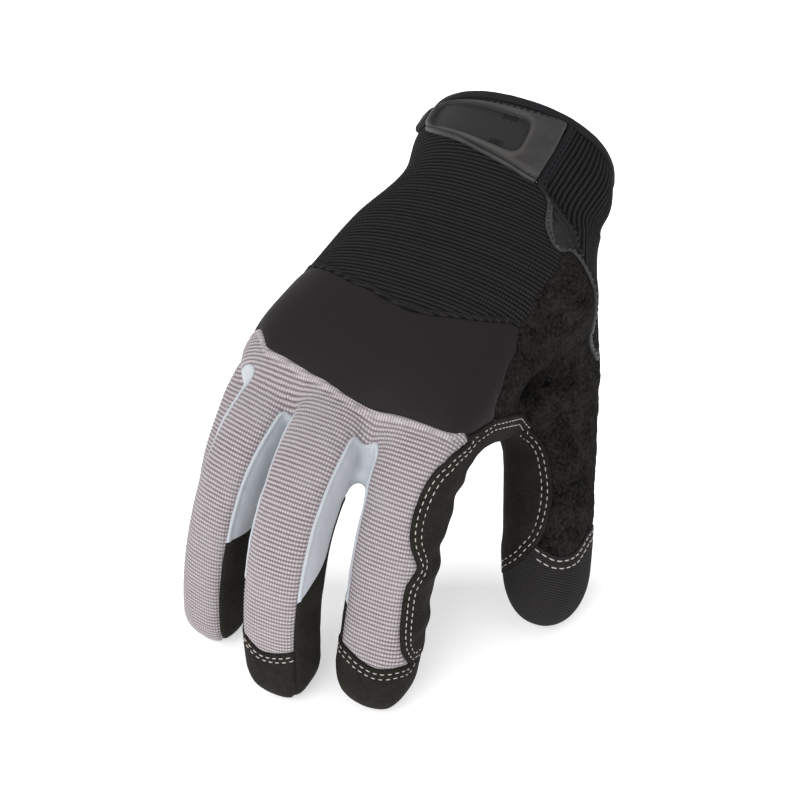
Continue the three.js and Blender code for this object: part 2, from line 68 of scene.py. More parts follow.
PALM = table(
    "along mix ulnar radial back front power bend skew",
    (0.0, 0.0, 0.5, 0.5, 0.5, 0.5, 2.2, 0, 0),
    (0.1, 0.0, 0.5, 0.585, 0.48, 0.48, 2.2, 4, 0),
    (0.22, 0.2, 0.42, 0.545, 0.48, 0.5, 2.2, 9, 0),
    (0.4, 0.5, 0.468, 0.655, 0.5, 0.52, 2.3, 4, 0),
    (0.6, 0.8, 0.461, 0.522, 0.5, 0.52, 2.4, 2, 0),
    (0.78, 1.0, 0.468, 0.479, 0.5, 0.46, 2.5, 9, 0.05),
    (0.9, 1.0, 0.474, 0.42, 0.43, 0.38, 2.5, 30, 0.15),
    (1.0, 1.0, 0.4, 0.28, 0.22, 0.24, 2.4, 42, 0.25),
)
FINGER_FULLNESS = table(
    "at wide deep",
    (0, 0.98, 0.98), (0.15, 1.04, 1.0), (0.26, 1.04, 1.0), (0.34, 0.99, 0.98),
    (0.5, 0.98, 0.97), (0.7, 0.96, 0.94), (0.85, 0.94, 0.88), (1, 0.92, 0.84),
)
THUMB_FULLNESS = table(
    "at wide deep",
    (0, 1.0, 1.05), (0.25, 1.08, 1.1), (0.45, 1.0, 1.02), (0.6, 0.96, 0.96),
    (0.75, 0.98, 0.94), (0.88, 0.94, 0.88), (1, 0.9, 0.8),
)
# Where each digit starts is given as shares of the palm's breadth, length and depth
DIGITS = {
    "index": dict(
        length=113.5, breadth=28.3, depth=27.7, across=0.299, along=0.818, up=0.045,
        pitch=-2, roll=0, splay=-1.5, fullness=FINGER_FULLNESS,
        bends=table("at turn", (0, 6), (0.2, 45), (0.5, 66), (0.8, 67), (1, 80)),
    ),
    "middle": dict(
        length=124.5, breadth=25.7, depth=25.7, across=-0.016, along=0.846, up=0.091,
        pitch=-2, roll=0, splay=-1, fullness=FINGER_FULLNESS,
        bends=table("at turn", (0, 5), (0.2, 20), (0.5, 63), (0.8, 87), (1, 87)),
    ),
    "ring": dict(
        length=119, breadth=22.4, depth=25.2, across=-0.246, along=0.795, up=0.005,
        pitch=-2.5, roll=1, splay=-10.5, fullness=FINGER_FULLNESS,
        bends=table("at turn", (0, 7), (0.2, 28), (0.5, 65), (0.8, 80), (1, 92)),
    ),
    "little": dict(
        length=101, breadth=22.8, depth=23.7, across=-0.383, along=0.717, up=-0.29,
        pitch=-0.5, roll=-1, splay=-12.5, fullness=FINGER_FULLNESS,
        bends=table("at turn", (0, 9), (0.2, 36), (0.5, 64), (0.8, 78), (1, 88)),
    ),
    "thumb": dict(
        length=131.5, breadth=33.8, depth=30.8, across=0.274, along=0.288, up=-0.173,
        pitch=39, roll=59.5, splay=33, fullness=THUMB_FULLNESS,
        bends=table("at turn", (0, 0), (0.3, 6), (0.6, 9), (0.85, 10), (1, 20)),
    ),
}


def straight(rows, key, at, along="at"):
    return np.interp(at, rows[along], rows[key])


def smooth(rows, key, at, along="at"):
    """A smooth curve through one column of a table, level past both ends"""
    x, y = rows[along], rows[key]
    near = np.maximum(np.arange(len(x)) - 1, 0)
    far = np.minimum(np.arange(len(x)) + 1, len(x) - 1)
    slopes = (y[far] - y[near]) / (x[far] - x[near])
    at = np.clip(at, x[0], x[-1])
    i = np.clip(np.searchsorted(x, at, side="right") - 1, 0, len(x) - 2)
    h = x[i + 1] - x[i]
    t = (at - x[i]) / h
    start = (1 + 2 * t) * (1 - t) ** 2 * y[i] + t * (1 - t) ** 2 * h * slopes[i]
    return start + t * t * (3 - 2 * t) * y[i + 1] + t * t * (t - 1) * h * slopes[i + 1]


def attitude(pitch, roll, yaw):
    """Tilt, roll and side lean of a part of the hand, the side lean last"""
    p, r, w = np.radians([pitch, roll, yaw])
    tilt = np.array([[1, 0, 0], [0, np.cos(p), -np.sin(p)], [0, np.sin(p), np.cos(p)]])
    turn = np.array([[np.cos(r), 0, np.sin(r)], [0, 1, 0], [-np.sin(r), 0, np.cos(r)]])
    lean = np.array([[np.cos(w), -np.sin(w), 0], [np.sin(w), np.cos(w), 0], [0, 0, 1]])
    return lean @ tilt @ turn


HAND = attitude(6.5, 0, -27)


class Tube:
    """A centre line that bends down as it goes, and the rounded sections round it"""

    def __init__(self, length, slope, facing, start, sizes, tip):
        count = 240
        self.shares = np.linspace(0, 1, count + 1)
        self.turns = np.radians(slope(self.shares))
        middles = (self.turns[1:] + self.turns[:-1]) / 2
        steps = np.stack([0 * middles, -np.cos(middles), -np.sin(middles)], 1) * (length / count)
        self.points = start + np.vstack([np.zeros(3), np.cumsum(steps, 0)]) @ facing.T
        self.bending = np.gradient(self.turns) * count / length
        self.length, self.facing, self.sizes, self.tip = length, facing, sizes, tip

    def axes(self, share):
        held = np.clip(share, 0, 1)
        turn = np.interp(held, self.shares, self.turns)
        columns = [np.interp(held, self.shares, self.points[:, k]) for k in range(3)]
        ahead = np.stack([0 * turn, -np.cos(turn), -np.sin(turn)], -1) @ self.facing.T
        back = np.stack([0 * turn, -np.sin(turn), np.cos(turn)], -1) @ self.facing.T
        centre = np.stack(columns, -1) + ahead * ((share - held) * self.length)[..., None]
        return centre, ahead, back

    def locate(self, points, share=None):
        """Share along the tube, and millimetres to the side and to the back, of each point"""
        if share is None:
            marks = np.linspace(0, 1, 41)
            centres = self.axes(marks)[0]
            share = marks[((points[:, None] - centres[None]) ** 2).sum(2).argmin(1)]
        for _ in range(4):
            centre, ahead, back = self.axes(share)
            off = points - centre
            side = off @ self.facing[:, 0]
            up = (off * back).sum(1)
            lead = (off * ahead).sum(1) - self.sizes(share)[5] * np.minimum(side, 0)
            bend = np.interp(share, self.shares, self.bending)
            share = share + lead / self.length / np.maximum(0.4, 1 + bend * up)
            share = np.clip(share, -0.5, 1.25)
        return share, side, up

    def past(self, share):
        return np.maximum(0, (share - self.tip) / (1 - self.tip))

    def gap(self, share, side, up):
        """Millimetres that a place stands outside the tube's skin, or below 0 inside it"""
        right, left, back, front, power, _ = self.sizes(share)
        wide = np.where(side > 0, right, left)
        deep = np.where(up > 0, back, front)
        full = ((np.abs(side) / wide) ** power + (np.abs(up) / deep) ** power) ** (1 / power)
        full = (full ** TIP_POWER + self.past(share) ** TIP_POWER) ** (1 / TIP_POWER)
        behind = np.maximum(0, -share - CUFF_RUN_OUT) * self.length
        return (full - 1) * np.sqrt(wide * deep) + behind

    def ring(self, share, turn):
        """Points of the section at one share, at even turns from the back"""
        right, left, back, front, power, skew = self.sizes(np.array([share]))
        power = power[0]
        x = np.sign(np.sin(turn)) * np.abs(np.sin(turn)) ** (2 / power)
        z = np.sign(np.cos(turn)) * np.abs(np.cos(turn)) ** (2 / power)
        shrink = (1 - min(1, self.past(share)) ** TIP_POWER) ** (1 / TIP_POWER)
        x = x * np.where(x > 0, right, left) * shrink
        z = z * np.where(z > 0, back, front) * shrink
        centre, ahead, up = self.axes(np.array([share]))
        return centre + np.outer(x, self.facing[:, 0]) + np.outer(z, up) + np.outer(
            skew * np.minimum(x, 0), ahead)


def palm_sizes(share):
    mix = smooth(PALM, "mix", share, "along")
    breadth = WRIST_BREADTH * (1 - mix) + PALM_BREADTH * mix
    depth = WRIST_DEPTH * (1 - mix) + PALM_DEPTH * mix
    keys = ("radial", "ulnar", "back", "front", "power", "skew")
    column = {key: smooth(PALM, key, share, "along") for key in keys}
    return (column["radial"] * breadth, column["ulnar"] * breadth, column["back"] * depth,
            column["front"] * depth, column["power"], column["skew"])


def digit_sizes(digit):
    def sizes(share):
        wide = smooth(digit["fullness"], "wide", share) * digit["breadth"] / 2
        deep = smooth(digit["fullness"], "deep", share) * digit["depth"] / 2
        return wide, wide, deep, deep, 0 * share + DIGIT_POWER, 0 * share
    return sizes


TUBES = {"palm": Tube(PALM_LENGTH, lambda s: smooth(PALM, "bend", s, "along"), np.eye(3),
                      np.zeros(3), palm_sizes, PALM_END)}
for name, digit in DIGITS.items():
    centre, _, back = TUBES["palm"].axes(np.array(digit["along"]))
    start = centre + back * digit["up"] * PALM_DEPTH + np.array([digit["across"] * PALM_BREADTH, 0, 0])
    facing = attitude(digit["pitch"], digit["roll"], digit["splay"])
    TUBES[name] = Tube(digit["length"], lambda s, d=digit: straight(d["bends"], "turn", s), facing,
                       start, digit_sizes(digit), 1 - TIP_SHARE * digit["breadth"] / digit["length"])

# Two folds of skin are straight tubes too: in the thumb's crotch, and by the first finger
for name, length, slope, start, wide, deep, tip in (
        ("crotch", 41, -35, (41.5, -85.4, -42.1), 5.5, 6, 0.75),
        ("first web", 19, 8, (12.5, -139, -19), 5.5, 4.5, 0.72)):
    section = (wide, wide, deep, deep, FOLD_POWER, 0)
    TUBES[name] = Tube(length, lambda s, turn=slope: 0 * s + turn, np.eye(3), np.array(start),
                       lambda s, section=section: tuple(0 * s + k for k in section), tip)
NAMES = list(TUBES)
FINGERS = ("index", "middle", "ring", "little")

# How far the cloth bridges each hollow where tubes meet, in millimetres
BRIDGES = {"fingers": 1.5, "first web": 4, "knuckles": 5, "crotch": 9, "thumb": 12}


def rise(value, start, end):
    """From 0 to 1 between two values, eased at both ends"""
    t = np.clip((value - start) / (end - start), 0, 1)
    return t * t * (3 - 2 * t)


def bridge(a, b, reach):
    """The nearer of two skins, rounded off where both are near"""
    close = np.maximum(reach - np.abs(a - b), 0) / reach
    return np.minimum(a, b) - close * close * reach / 4


def places_of(points, before=None):
    """Share, side and back offset of points on every tube, in columns"""
    columns = []
    for k, tube in enumerate(TUBES.values()):
        share = None if before is None else before[:, 3 * k]
        columns += list(tube.locate(points, share))
    return np.stack(columns, 1)


def skin_gap(places):
    gaps = {n: TUBES[n].gap(*places[:, 3 * k:3 * k + 3].T) for k, n in enumerate(NAMES)}
    fingers = gaps["index"]
    for name in FINGERS[1:]:
        fingers = bridge(fingers, gaps[name], BRIDGES["fingers"])
    fingers = bridge(fingers, gaps["first web"], BRIDGES["first web"])
    hand = bridge(fingers, gaps["palm"], BRIDGES["knuckles"])
    hand = bridge(hand, gaps["crotch"], BRIDGES["crotch"])
    return bridge(hand, gaps["thumb"], BRIDGES["thumb"])


def normals_of(points, faces):
    a, b, c = points[faces[:, 0]], points[faces[:, 1]], points[faces[:, 2]]
    flat = np.cross(b - a, c - a)
    total = np.zeros_like(points)
    for k in range(3):
        for axis in range(3):
            total[:, axis] += np.bincount(faces[:, k], flat[:, axis], len(points))
    return total / np.maximum(np.linalg.norm(total, axis=1), 1e-12)[:, None]


def relaxed(points, faces, amount):
    """Each point moved towards the middle of its neighbours"""
    start = np.concatenate([faces[:, 0], faces[:, 1], faces[:, 2]])
    end = np.concatenate([faces[:, 1], faces[:, 2], faces[:, 0]])
    count = np.bincount(start, minlength=len(points))
    middle = np.stack([np.bincount(start, points[end, k], len(points)) for k in range(3)], 1)
    return points + (middle / np.maximum(count, 1)[:, None] - points) * amount


def former_skin():
    """One closed skin over all the tubes, as points and triangles"""
    points, faces, first = [], [], 0
    turn = np.linspace(0, 2 * np.pi, FORMER_SIDES, endpoint=False)
    for name, tube in TUBES.items():
        start = -CUFF_RUN_OUT if name == "palm" else 0
        body = np.linspace(start, tube.tip, 60)
        end = tube.tip + (1 - tube.tip) * np.sin(np.linspace(0, np.pi / 2, 12))[1:-1]
        rings = [tube.ring(share, turn) for share in np.concatenate([body, end])]
        for i in range(len(rings) - 1):
            for j in range(FORMER_SIDES):
                k = (j + 1) % FORMER_SIDES
                a = first + i * FORMER_SIDES
                faces.append((a + j, a + k, a + FORMER_SIDES + k, a + FORMER_SIDES + j))
        faces.append([first + j for j in range(FORMER_SIDES)][::-1])
        last = first + (len(rings) - 1) * FORMER_SIDES
        faces.append([last + j for j in range(FORMER_SIDES)])
        points.append(np.concatenate(rings))
        first += len(rings) * FORMER_SIDES
    mesh = bpy.data.meshes.new("former")
    mesh.from_pydata(np.concatenate(points).tolist(), [], faces)
    former = bpy.data.objects.new("former", mesh)
    bpy.context.scene.collection.objects.link(former)
    remesh = former.modifiers.new("skin", "REMESH")
    remesh.mode = "VOXEL"
    remesh.voxel_size = VOXEL
    skin = former.evaluated_get(bpy.context.evaluated_depsgraph_get()).to_mesh()
    co = np.zeros(len(skin.vertices) * 3)
    skin.vertices.foreach_get("co", co)
    quads = np.array([p.vertices[:] for p in skin.polygons if len(p.vertices) == 4])
    bpy.data.objects.remove(former)
    triangles = np.concatenate([quads[:, [0, 1, 2]], quads[:, [0, 2, 3]]])
    return co.reshape(-1, 3), triangles


def whole_skin():
    """The skin drawn tight over the form, with small waves down the first finger's side"""
    points, faces = former_skin()
    places = places_of(points)
    volume = (points[faces[:, 0]] * np.cross(points[faces[:, 1]], points[faces[:, 2]])).sum()
    if volume < 0:
        faces = faces[:, ::-1]
    for _ in range(CLOTH_EASE):
        points = relaxed(points, faces, 0.6)
        places = places_of(points, places)
        points = points - normals_of(points, faces) * skin_gap(places)[:, None]
    share, side, up = places[:, 3:6].T
    turn = np.degrees(np.arctan2(side, up))
    near = rise(4 - TUBES["index"].gap(share, side, up), 0, 3) * rise(turn, 55, 85)
    near = near * rise(share, 0.06, 0.14) * rise(0.8 - share, 0, 0.12) * rise(150 - turn, 0, 30)
    waves = np.sin(2 * np.pi * share * 6.1 + 0.9) + 0.6 * np.sin(2 * np.pi * share * 10.7)
    points = points + normals_of(points, faces) * (0.5 * near * waves)[:, None]
    places = places_of(points, places)
    return points, faces, places


class Cloth:
    """Triangles on the form, with each point's place, normal and place on every tube"""

    def __init__(self, data, faces):
        self.data, self.faces = data, faces
        self.points, self.normals = data[:, :3], data[:, 3:6]

    def share(self, name):
        return self.data[:, 6 + 3 * NAMES.index(name)]

    def side(self, name):
        return self.data[:, 7 + 3 * NAMES.index(name)]

    def up(self, name):
        return self.data[:, 8 + 3 * NAMES.index(name)]

    def angle(self, name):
        """Degrees round a tube from its back, more towards the thumb's side"""
        return np.degrees(np.arctan2(self.side(name), self.up(name)))

    def past_angle(self, name, edge):
        """Millimetres round the tube past an edge given in degrees"""
        reach = np.hypot(self.side(name), self.up(name))
        return np.radians(self.angle(name) - edge) * np.clip(reach, 8, 50)

    def past_share(self, name, edge):
        return (self.share(name) - edge) * TUBES[name].length

    def gap(self, name):
        return TUBES[name].gap(self.share(name), self.side(name), self.up(name))

    def own(self, name):
        """Millimetres by which this tube's skin is nearer than any other's"""
        others = [self.gap(other) for other in NAMES if other != name]
        return np.min(others, axis=0) - self.gap(name)

    def keep(self, chosen):
        used, faces = np.unique(self.faces[chosen], return_inverse=True)
        return Cloth(self.data[used], faces.reshape(-1, 3))


def split(cloth, values, spacing=None, turn=0, passes=1):
    """Cuts the triangles along the values' zero line, or along every so many lines"""
    faces = cloth.faces
    a, b = faces.ravel(), np.roll(faces, -1, axis=1).ravel()
    line = 0.0
    if spacing is not None:
        step = spacing * passes
        line = np.round(((values[a] + values[b]) / 2 - turn * spacing) / step) * step + turn * spacing
    ha, hb = values[a] - line, values[b] - line
    crossed = ha * hb < -1e-12
    count = len(values)
    low, high = np.minimum(a, b), np.maximum(a, b)
    key, inverse = np.unique((low * count + high)[crossed], return_inverse=True)
    low, high = key // count, key % count
    at = np.zeros(len(key))
    at[inverse] = (line if spacing is None else line[crossed])
    share = (at - values[low]) / (values[high] - values[low])
    data = np.vstack([cloth.data, cloth.data[low] + (cloth.data[high] - cloth.data[low]) * share[:, None]])
    values = np.concatenate([values, at])
    cut = np.full(len(a), -1)
    cut[crossed] = count + inverse
    cut = cut.reshape(-1, 3)
    number = (cut >= 0).sum(1)
    made = [faces[number == 0]]
    once = np.flatnonzero(number == 1)
    first = (cut[once] >= 0).argmax(1)
    v = [faces[once, (first + k) % 3] for k in range(3)]
    m = cut[once, first]
    made += [np.stack([v[0], m, v[2]], 1), np.stack([m, v[1], v[2]], 1)]
    twice = np.flatnonzero(number == 2)
    first = (cut[twice] < 0).argmax(1)
    v = [faces[twice, (first + k) % 3] for k in range(3)]
    m1, m2 = cut[twice, (first + 1) % 3], cut[twice, (first + 2) % 3]
    made += [np.stack([m2, m1, v[2]], 1), np.stack([v[0], v[1], m1], 1), np.stack([v[0], m1, m2], 1)]
    return Cloth(data, np.concatenate(made)), values


def snap(values, slack, spacing=None):
    """Values that are almost on a line, put on it, so that no sliver is cut"""
    line = 0.0 if spacing is None else np.round(values / spacing) * spacing
    return np.where(np.abs(values - line) < slack, line, values)


def patch_sizes(faces, count):
    """How many triangles hang together with each triangle"""
    first = np.arange(count)
    while True:
        joined = first.copy()
        low = first[faces].min(1)
        for k in range(3):
            np.minimum.at(joined, faces[:, k], low)
        joined = joined[joined]
        joined = joined[joined]
        if (joined == first).all():
            break
        first = joined
    _, which, number = np.unique(first[faces[:, 0]], return_inverse=True, return_counts=True)
    return number[which]


def cut_out(cloth, field, slack=0.06):
    """The panel where the field is above 0, and what is left, with no crumbs of either"""
    values = field if isinstance(field, np.ndarray) else field(cloth)
    both, values = split(cloth, snap(values, slack))
    inside = values[both.faces].mean(1) > 0
    for side in (True, False):
        chosen = np.flatnonzero(inside == side)
        small = patch_sizes(both.faces[chosen], len(both.data)) < CRUMB
        inside[chosen[small]] = not side
    return both.keep(inside), both.keep(~inside)


points, faces, places = whole_skin()
skin = Cloth(np.hstack([points, normals_of(points, faces), places]), faces)
_, whole = cut_out(skin, lambda c: np.minimum(-c.past_share("palm", CUFF_MOUTH),
                                              CUFF_REACH + c.points[:, 1]))
rest = whole

# Wrist binding. Black tape is folded over the raw rim of the cuff and sewn through, so it
# stands as a soft round roll all round the opening.
MM = 0.001
SEAM_EASE = 0.04
RIM_END = 0.026


def rim_of(cloth):
    """Edges that only one triangle has, in its direction"""
    a, b = cloth.faces.ravel(), np.roll(cloth.faces, -1, axis=1).ravel()
    count = len(cloth.data)
    _, inverse, number = np.unique(np.minimum(a, b) * count + np.maximum(a, b),
                                   return_inverse=True, return_counts=True)
    lone = number[inverse] == 1
    return np.stack([a[lone], b[lone]], 1)


def from_edge(cloth, chosen=None):
    """Millimetres from each point to the panel's edge, or to the chosen part of it"""
    rim = rim_of(cloth)
    if chosen is not None:
        rim = rim[chosen(cloth)[rim].all(1)]
    if len(rim) == 0:
        return np.full(len(cloth.data), 99.0)
    shares = np.array([0, 0.25, 0.5, 0.75])[:, None, None]
    ends = cloth.points[rim]
    marks = (ends[None, :, 0] * (1 - shares) + ends[None, :, 1] * shares).reshape(-1, 3)
    tree = KDTree(len(marks))
    for place, mark in enumerate(marks):
        tree.insert(mark, place)
    tree.balance()
    return np.array([tree.find(p)[2] for p in cloth.points])


def terraced(cloth, distance, levels):
    """The panel with edges laid along some distances, and the distance at every point"""
    cloth = Cloth(np.hstack([cloth.data, distance[:, None]]), cloth.faces)
    for level in levels:
        cloth, _ = split(cloth, snap(cloth.data[:, -1] - level, 0.05))
    return cloth, cloth.data[:, -1]


def dome(distance, width):
    """A rounded edge from 0 to 1 over a width"""
    t = np.clip(1 - distance / width, 0, 1)
    return np.sqrt(np.maximum(0, 1 - t * t))


def mottle(points, size, seed):
    """Soft random heights from -1 to 1 that change over a size in millimetres"""
    cells = points / size
    base = np.floor(cells).astype(int)
    ease = (cells - base) ** 2 * (3 - 2 * (cells - base))
    heights = np.random.default_rng(seed).uniform(-1, 1, 4096)
    total = np.zeros(len(points))
    for corner in range(8):
        step = np.array([corner & 1, corner >> 1 & 1, corner >> 2 & 1])
        key = ((base + step) * np.array([157, 7919, 104729])).sum(1) % 4096
        total += np.where(step, ease, 1 - ease).prod(1) * heights[key]
    return total


def mesh_object(name, layers, sharp=55):
    """A Blender mesh in the row's frame, from layers of points, faces, finish and values"""
    points = np.vstack([layer[0] for layer in layers])
    starts = np.cumsum([0] + [len(layer[0]) for layer in layers[:-1]])
    faces = np.concatenate([layer[1] + start for layer, start in zip(layers, starts)])
    mesh = bpy.data.meshes.new(name)
    mesh.vertices.add(len(points))
    mesh.vertices.foreach_set("co", (points @ HAND.T * MM).astype(np.float32).ravel())
    mesh.loops.add(len(faces) * 3)
    mesh.loops.foreach_set("vertex_index", faces.astype(np.int32).ravel())
    mesh.polygons.add(len(faces))
    mesh.polygons.foreach_set("loop_start", np.arange(0, len(faces) * 3, 3, dtype=np.int32))
    mesh.polygons.foreach_set("use_smooth", np.ones(len(faces), bool))
    finish = np.repeat(np.arange(len(layers)), [len(layer[1]) for layer in layers])
    mesh.update(calc_edges=True)
    for _, _, material, _ in layers:
        mesh.materials.append(material)
    mesh.polygons.foreach_set("material_index", finish.astype(np.int32))
    for key in sorted({key for layer in layers for key in layer[3]}):
        numbers = [layer[3].get(key, np.zeros(len(layer[0]))) for layer in layers]
        attribute = mesh.attributes.new(key, "FLOAT", "POINT")
        attribute.data.foreach_set("value", np.concatenate(numbers).astype(np.float32))
    mesh.set_sharp_from_angle(angle=math.radians(sharp))
    piece = bpy.data.objects.new(name, mesh)
    bpy.context.scene.collection.objects.link(piece)
    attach(piece, "root")
    return piece


def sewn(cloth, height, wall, material, **values):
    """A closed panel as a layer: its face raised by a height, its lining and its cut edge"""
    rim = rim_of(cloth)
    points = cloth.points.copy()
    pull = np.zeros_like(points)
    middle = points[cloth.faces].mean(1)
    for k in range(3):
        corner = cloth.faces[:, k]
        for axis in range(3):
            pull[:, axis] += np.bincount(corner, (middle - points[corner])[:, axis], len(points))
    pull /= np.maximum(np.linalg.norm(pull, axis=1), 1e-9)[:, None]
    on_rim = np.unique(rim)
    points[on_rim] += pull[on_rim] * SEAM_EASE
    count = len(points)
    walls = np.concatenate([
        np.stack([rim[:, 1], rim[:, 0], rim[:, 0] + count], 1),
        np.stack([rim[:, 1], rim[:, 0] + count, rim[:, 1] + count], 1),
    ])
    faces = np.concatenate([cloth.faces, cloth.faces[:, ::-1] + count, walls])
    face = points + cloth.normals * height[:, None]
    lining = points - cloth.normals * wall
    return np.vstack([face, lining]), faces, material, {k: np.tile(v, 2) for k, v in values.items()}


class Finish:
    """A procedural material, put together node by node"""

    def __init__(self, name, roughness, sheen=0.0, shine=0.05):
        self.material = bpy.data.materials.new(name)
        self.material.use_nodes = True
        self.tree = self.material.node_tree
        self.shader = self.tree.nodes["Principled BSDF"]
        self.set("Roughness", roughness)
        self.set("Sheen Weight", sheen)
        self.set("Specular IOR Level", shine)

    def set(self, key, value):
        self.feed(self.shader.inputs[key], value)

    def feed(self, socket, value):
        if isinstance(value, bpy.types.NodeSocket):
            self.tree.links.new(value, socket)
        else:
            socket.default_value = value

    def node(self, kind, inputs, **settings):
        node = self.tree.nodes.new("ShaderNode" + kind)
        for key, value in settings.items():
            setattr(node, key, value)
        for key, value in inputs.items():
            self.feed(node.inputs[key], value)
        return node

    def math(self, operation, first, second=0.0, third=0.0):
        return self.node("Math", {0: first, 1: second, 2: third}, operation=operation).outputs[0]

    def place(self):
        """Position on the piece, in millimetres"""
        at = self.node("TexCoord", {}).outputs["Object"]
        return self.node("VectorMath", {0: at, 3: 1 / MM}, operation="SCALE").outputs[0]

    def value(self, name):
        return self.node("Attribute", {}, attribute_name=name).outputs["Fac"]

    def noise(self, size, detail=3.0, roughness=0.5):
        """Soft noise of about one size in millimetres"""
        return self.node("TexNoise", {"Vector": self.place(), "Scale": 1 / size, "Detail": detail,
                                      "Roughness": roughness}).outputs["Fac"]

    def blend(self, share, first, second):
        node = self.node("Mix", {"Factor": share}, data_type="RGBA")
        self.feed(node.inputs[6], first)
        self.feed(node.inputs[7], second)
        return node.outputs[2]

    def ramp(self, value, low, high, start=0.0, end=1.0):
        return self.node("MapRange", {"Value": value, "From Min": low, "From Max": high,
                                      "To Min": start, "To Max": end}).outputs[0]

    def bump(self, height, depth, strength=1.0, after=None):
        """Relief of a depth in millimetres"""
        inputs = {"Height": height, "Distance": depth * MM, "Strength": strength}
        if after is not None:
            inputs["Normal"] = after
        return self.node("Bump", inputs).outputs[0]


def shade(red, green, blue):
    """A screen colour from 0 to 255, as the shader's light values"""
    screen = np.array([red, green, blue]) / 255
    light = np.where(screen > 0.04045, ((screen + 0.055) / 1.055) ** 2.4, screen / 12.92)
    return (*light.tolist(), 1.0)


def binding_finish():
    finish = Finish("folded binding tape", 0.6, 0.0, 0.12)
    grain = finish.noise(0.35, 2)
    wear_dust_and_painted_highlight = finish.noise(6, 3)
    tone = finish.math("MULTIPLY_ADD", grain, 0.35, finish.math("MULTIPLY", wear_dust_and_painted_highlight, 0.4))
    finish.set("Base Color", finish.blend(tone, shade(20, 20, 22), shade(44, 44, 47)))
    finish.set("Normal", finish.bump(grain, 0.12))
    return finish.material


BINDING = binding_finish()
roll, rest = cut_out(rest, lambda c: -c.past_share("palm", RIM_END))
roll, depth = terraced(roll, from_edge(roll), (0.35, 0.8, 1.4))
roll_height = 1.1 * dome(depth, 1.9) - 0.2 + 0.08 * mottle(roll.points, 2.5, 3)
wrist_binding = mesh_object("rolled_cuff_rim", [sewn(roll, roll_height, 2.2, BINDING)])
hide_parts("wrist_binding")

# Cuff gusset. A panel of ribbed elastic closes the slit on the thumb's side of the cuff. Its
# ribs run lengthwise, and a folded hem with a dark seam finishes the edge beside the strap.
GUSSET_LEFT = table("at low", (0.03, 45), (0.2, 47), (0.216, 50), (0.229, 56), (0.254, 63),
                    (0.28, 68), (0.31, 71), (0.33, 73))
GUSSET_FOOT = table("turn along", (60, 0.32), (68, 0.322), (72, 0.324), (75, 0.33), (79, 0.348),
                    (83, 0.365), (90, 0.385), (100, 0.4), (110, 0.4), (118, 0.39))
GUSSET_FAR = 116
HEM_WIDTH = 3.6
ELASTIC_PITCH = 1.25
GUSSET_REACH = 27
STITCH_SIDES = 6


def area_of(cloth):
    a, b, c = (cloth.points[cloth.faces[:, k]] for k in range(3))
    return np.linalg.norm(np.cross(b - a, c - a), axis=1).sum() / 2 * MM * MM


def lines_at(cloth, values, level):
    """Runs of places where the values cross a level, with their normals"""
    values = np.where(np.abs(values - level) < 1e-6, 1e-6, values - level)
    a, b = cloth.faces.ravel(), np.roll(cloth.faces, -1, axis=1).ravel()
    count = len(values)
    key = (np.minimum(a, b) * count + np.maximum(a, b)).reshape(-1, 3)
    crossed = (values[a] * values[b] < 0).reshape(-1, 3)
    two = crossed.sum(1) == 2
    used, ends = np.unique(key[two][crossed[two]], return_inverse=True)
    low, high = used // count, used % count
    share = (values[low] / (values[low] - values[high]))[:, None]
    spots = cloth.data[low, :6] * (1 - share) + cloth.data[high, :6] * share
    links = [[] for _ in used]
    for one, other in ends.reshape(-1, 2):
        links[one].append(other)
        links[other].append(one)
    seen, runs = set(), []
    for start in [i for i, near in enumerate(links) if len(near) == 1] + list(range(len(links))):
        if start in seen:
            continue
        run = [start]
        seen.add(start)
        while True:
            onward = [other for other in links[run[-1]] if other not in seen]
            if not onward:
                break
            run.append(onward[0])
            seen.add(onward[0])
        if len(run) > 6:
            runs.append(spots[run])
    return runs


def stitches(runs, period, length, radius, lift, material):
    """A layer of short threads laid end to end along each run"""
    along = np.array([-1, -0.7, 0, 0.7, 1.0])
    size = np.array([0.3, 0.85, 1, 0.85, 0.3]) * radius
    sink = -0.9 * radius * along ** 4
    turn = np.linspace(0, 2 * np.pi, STITCH_SIDES, endpoint=False)
    rings, faces = [], []
    for run in runs:
        steps = np.linalg.norm(np.diff(run[:, :3], axis=0), axis=1)
        reach = np.concatenate([[0], np.cumsum(steps)])
        middles = np.arange(period / 2, reach[-1] - period / 2, period)
        for middle in middles:
            marks = middle + along * length / 2
            spots = np.stack([np.interp(marks, reach, run[:, k]) for k in range(3)], 1)
            normal = np.stack([np.interp(middle, reach, run[:, k]) for k in (3, 4, 5)])
            ahead = spots[-1] - spots[0]
            ahead /= max(np.linalg.norm(ahead), 1e-6)
            normal = normal - ahead * (normal @ ahead)
            normal /= max(np.linalg.norm(normal), 1e-6)
            side = np.cross(ahead, normal)
            spots = spots + normal * (lift + sink)[:, None]
            ring = (np.cos(turn)[:, None] * side + np.sin(turn)[:, None] * normal)
            rings.append((spots[:, None] + ring[None] * size[:, None, None]).reshape(-1, 3))
    base = []
    n = STITCH_SIDES
    for i in range(len(along) - 1):
        for j in range(n):
            k = (j + 1) % n
            base += [(i * n + j, i * n + k, i * n + n + k), (i * n + j, i * n + n + k, i * n + n + j)]
    last = (len(along) - 1) * n
    for j in range(1, n - 1):
        base += [(0, j + 1, j), (last, last + j, last + j + 1)]
    base = np.array(base)
    each = len(along) * n
    faces = (base[None] + np.arange(len(rings))[:, None, None] * each).reshape(-1, 3)
    return np.concatenate(rings), faces, material, {}


def gusset_left(cloth):
    return cloth.past_angle("palm", smooth(GUSSET_LEFT, "low", cloth.share("palm")))


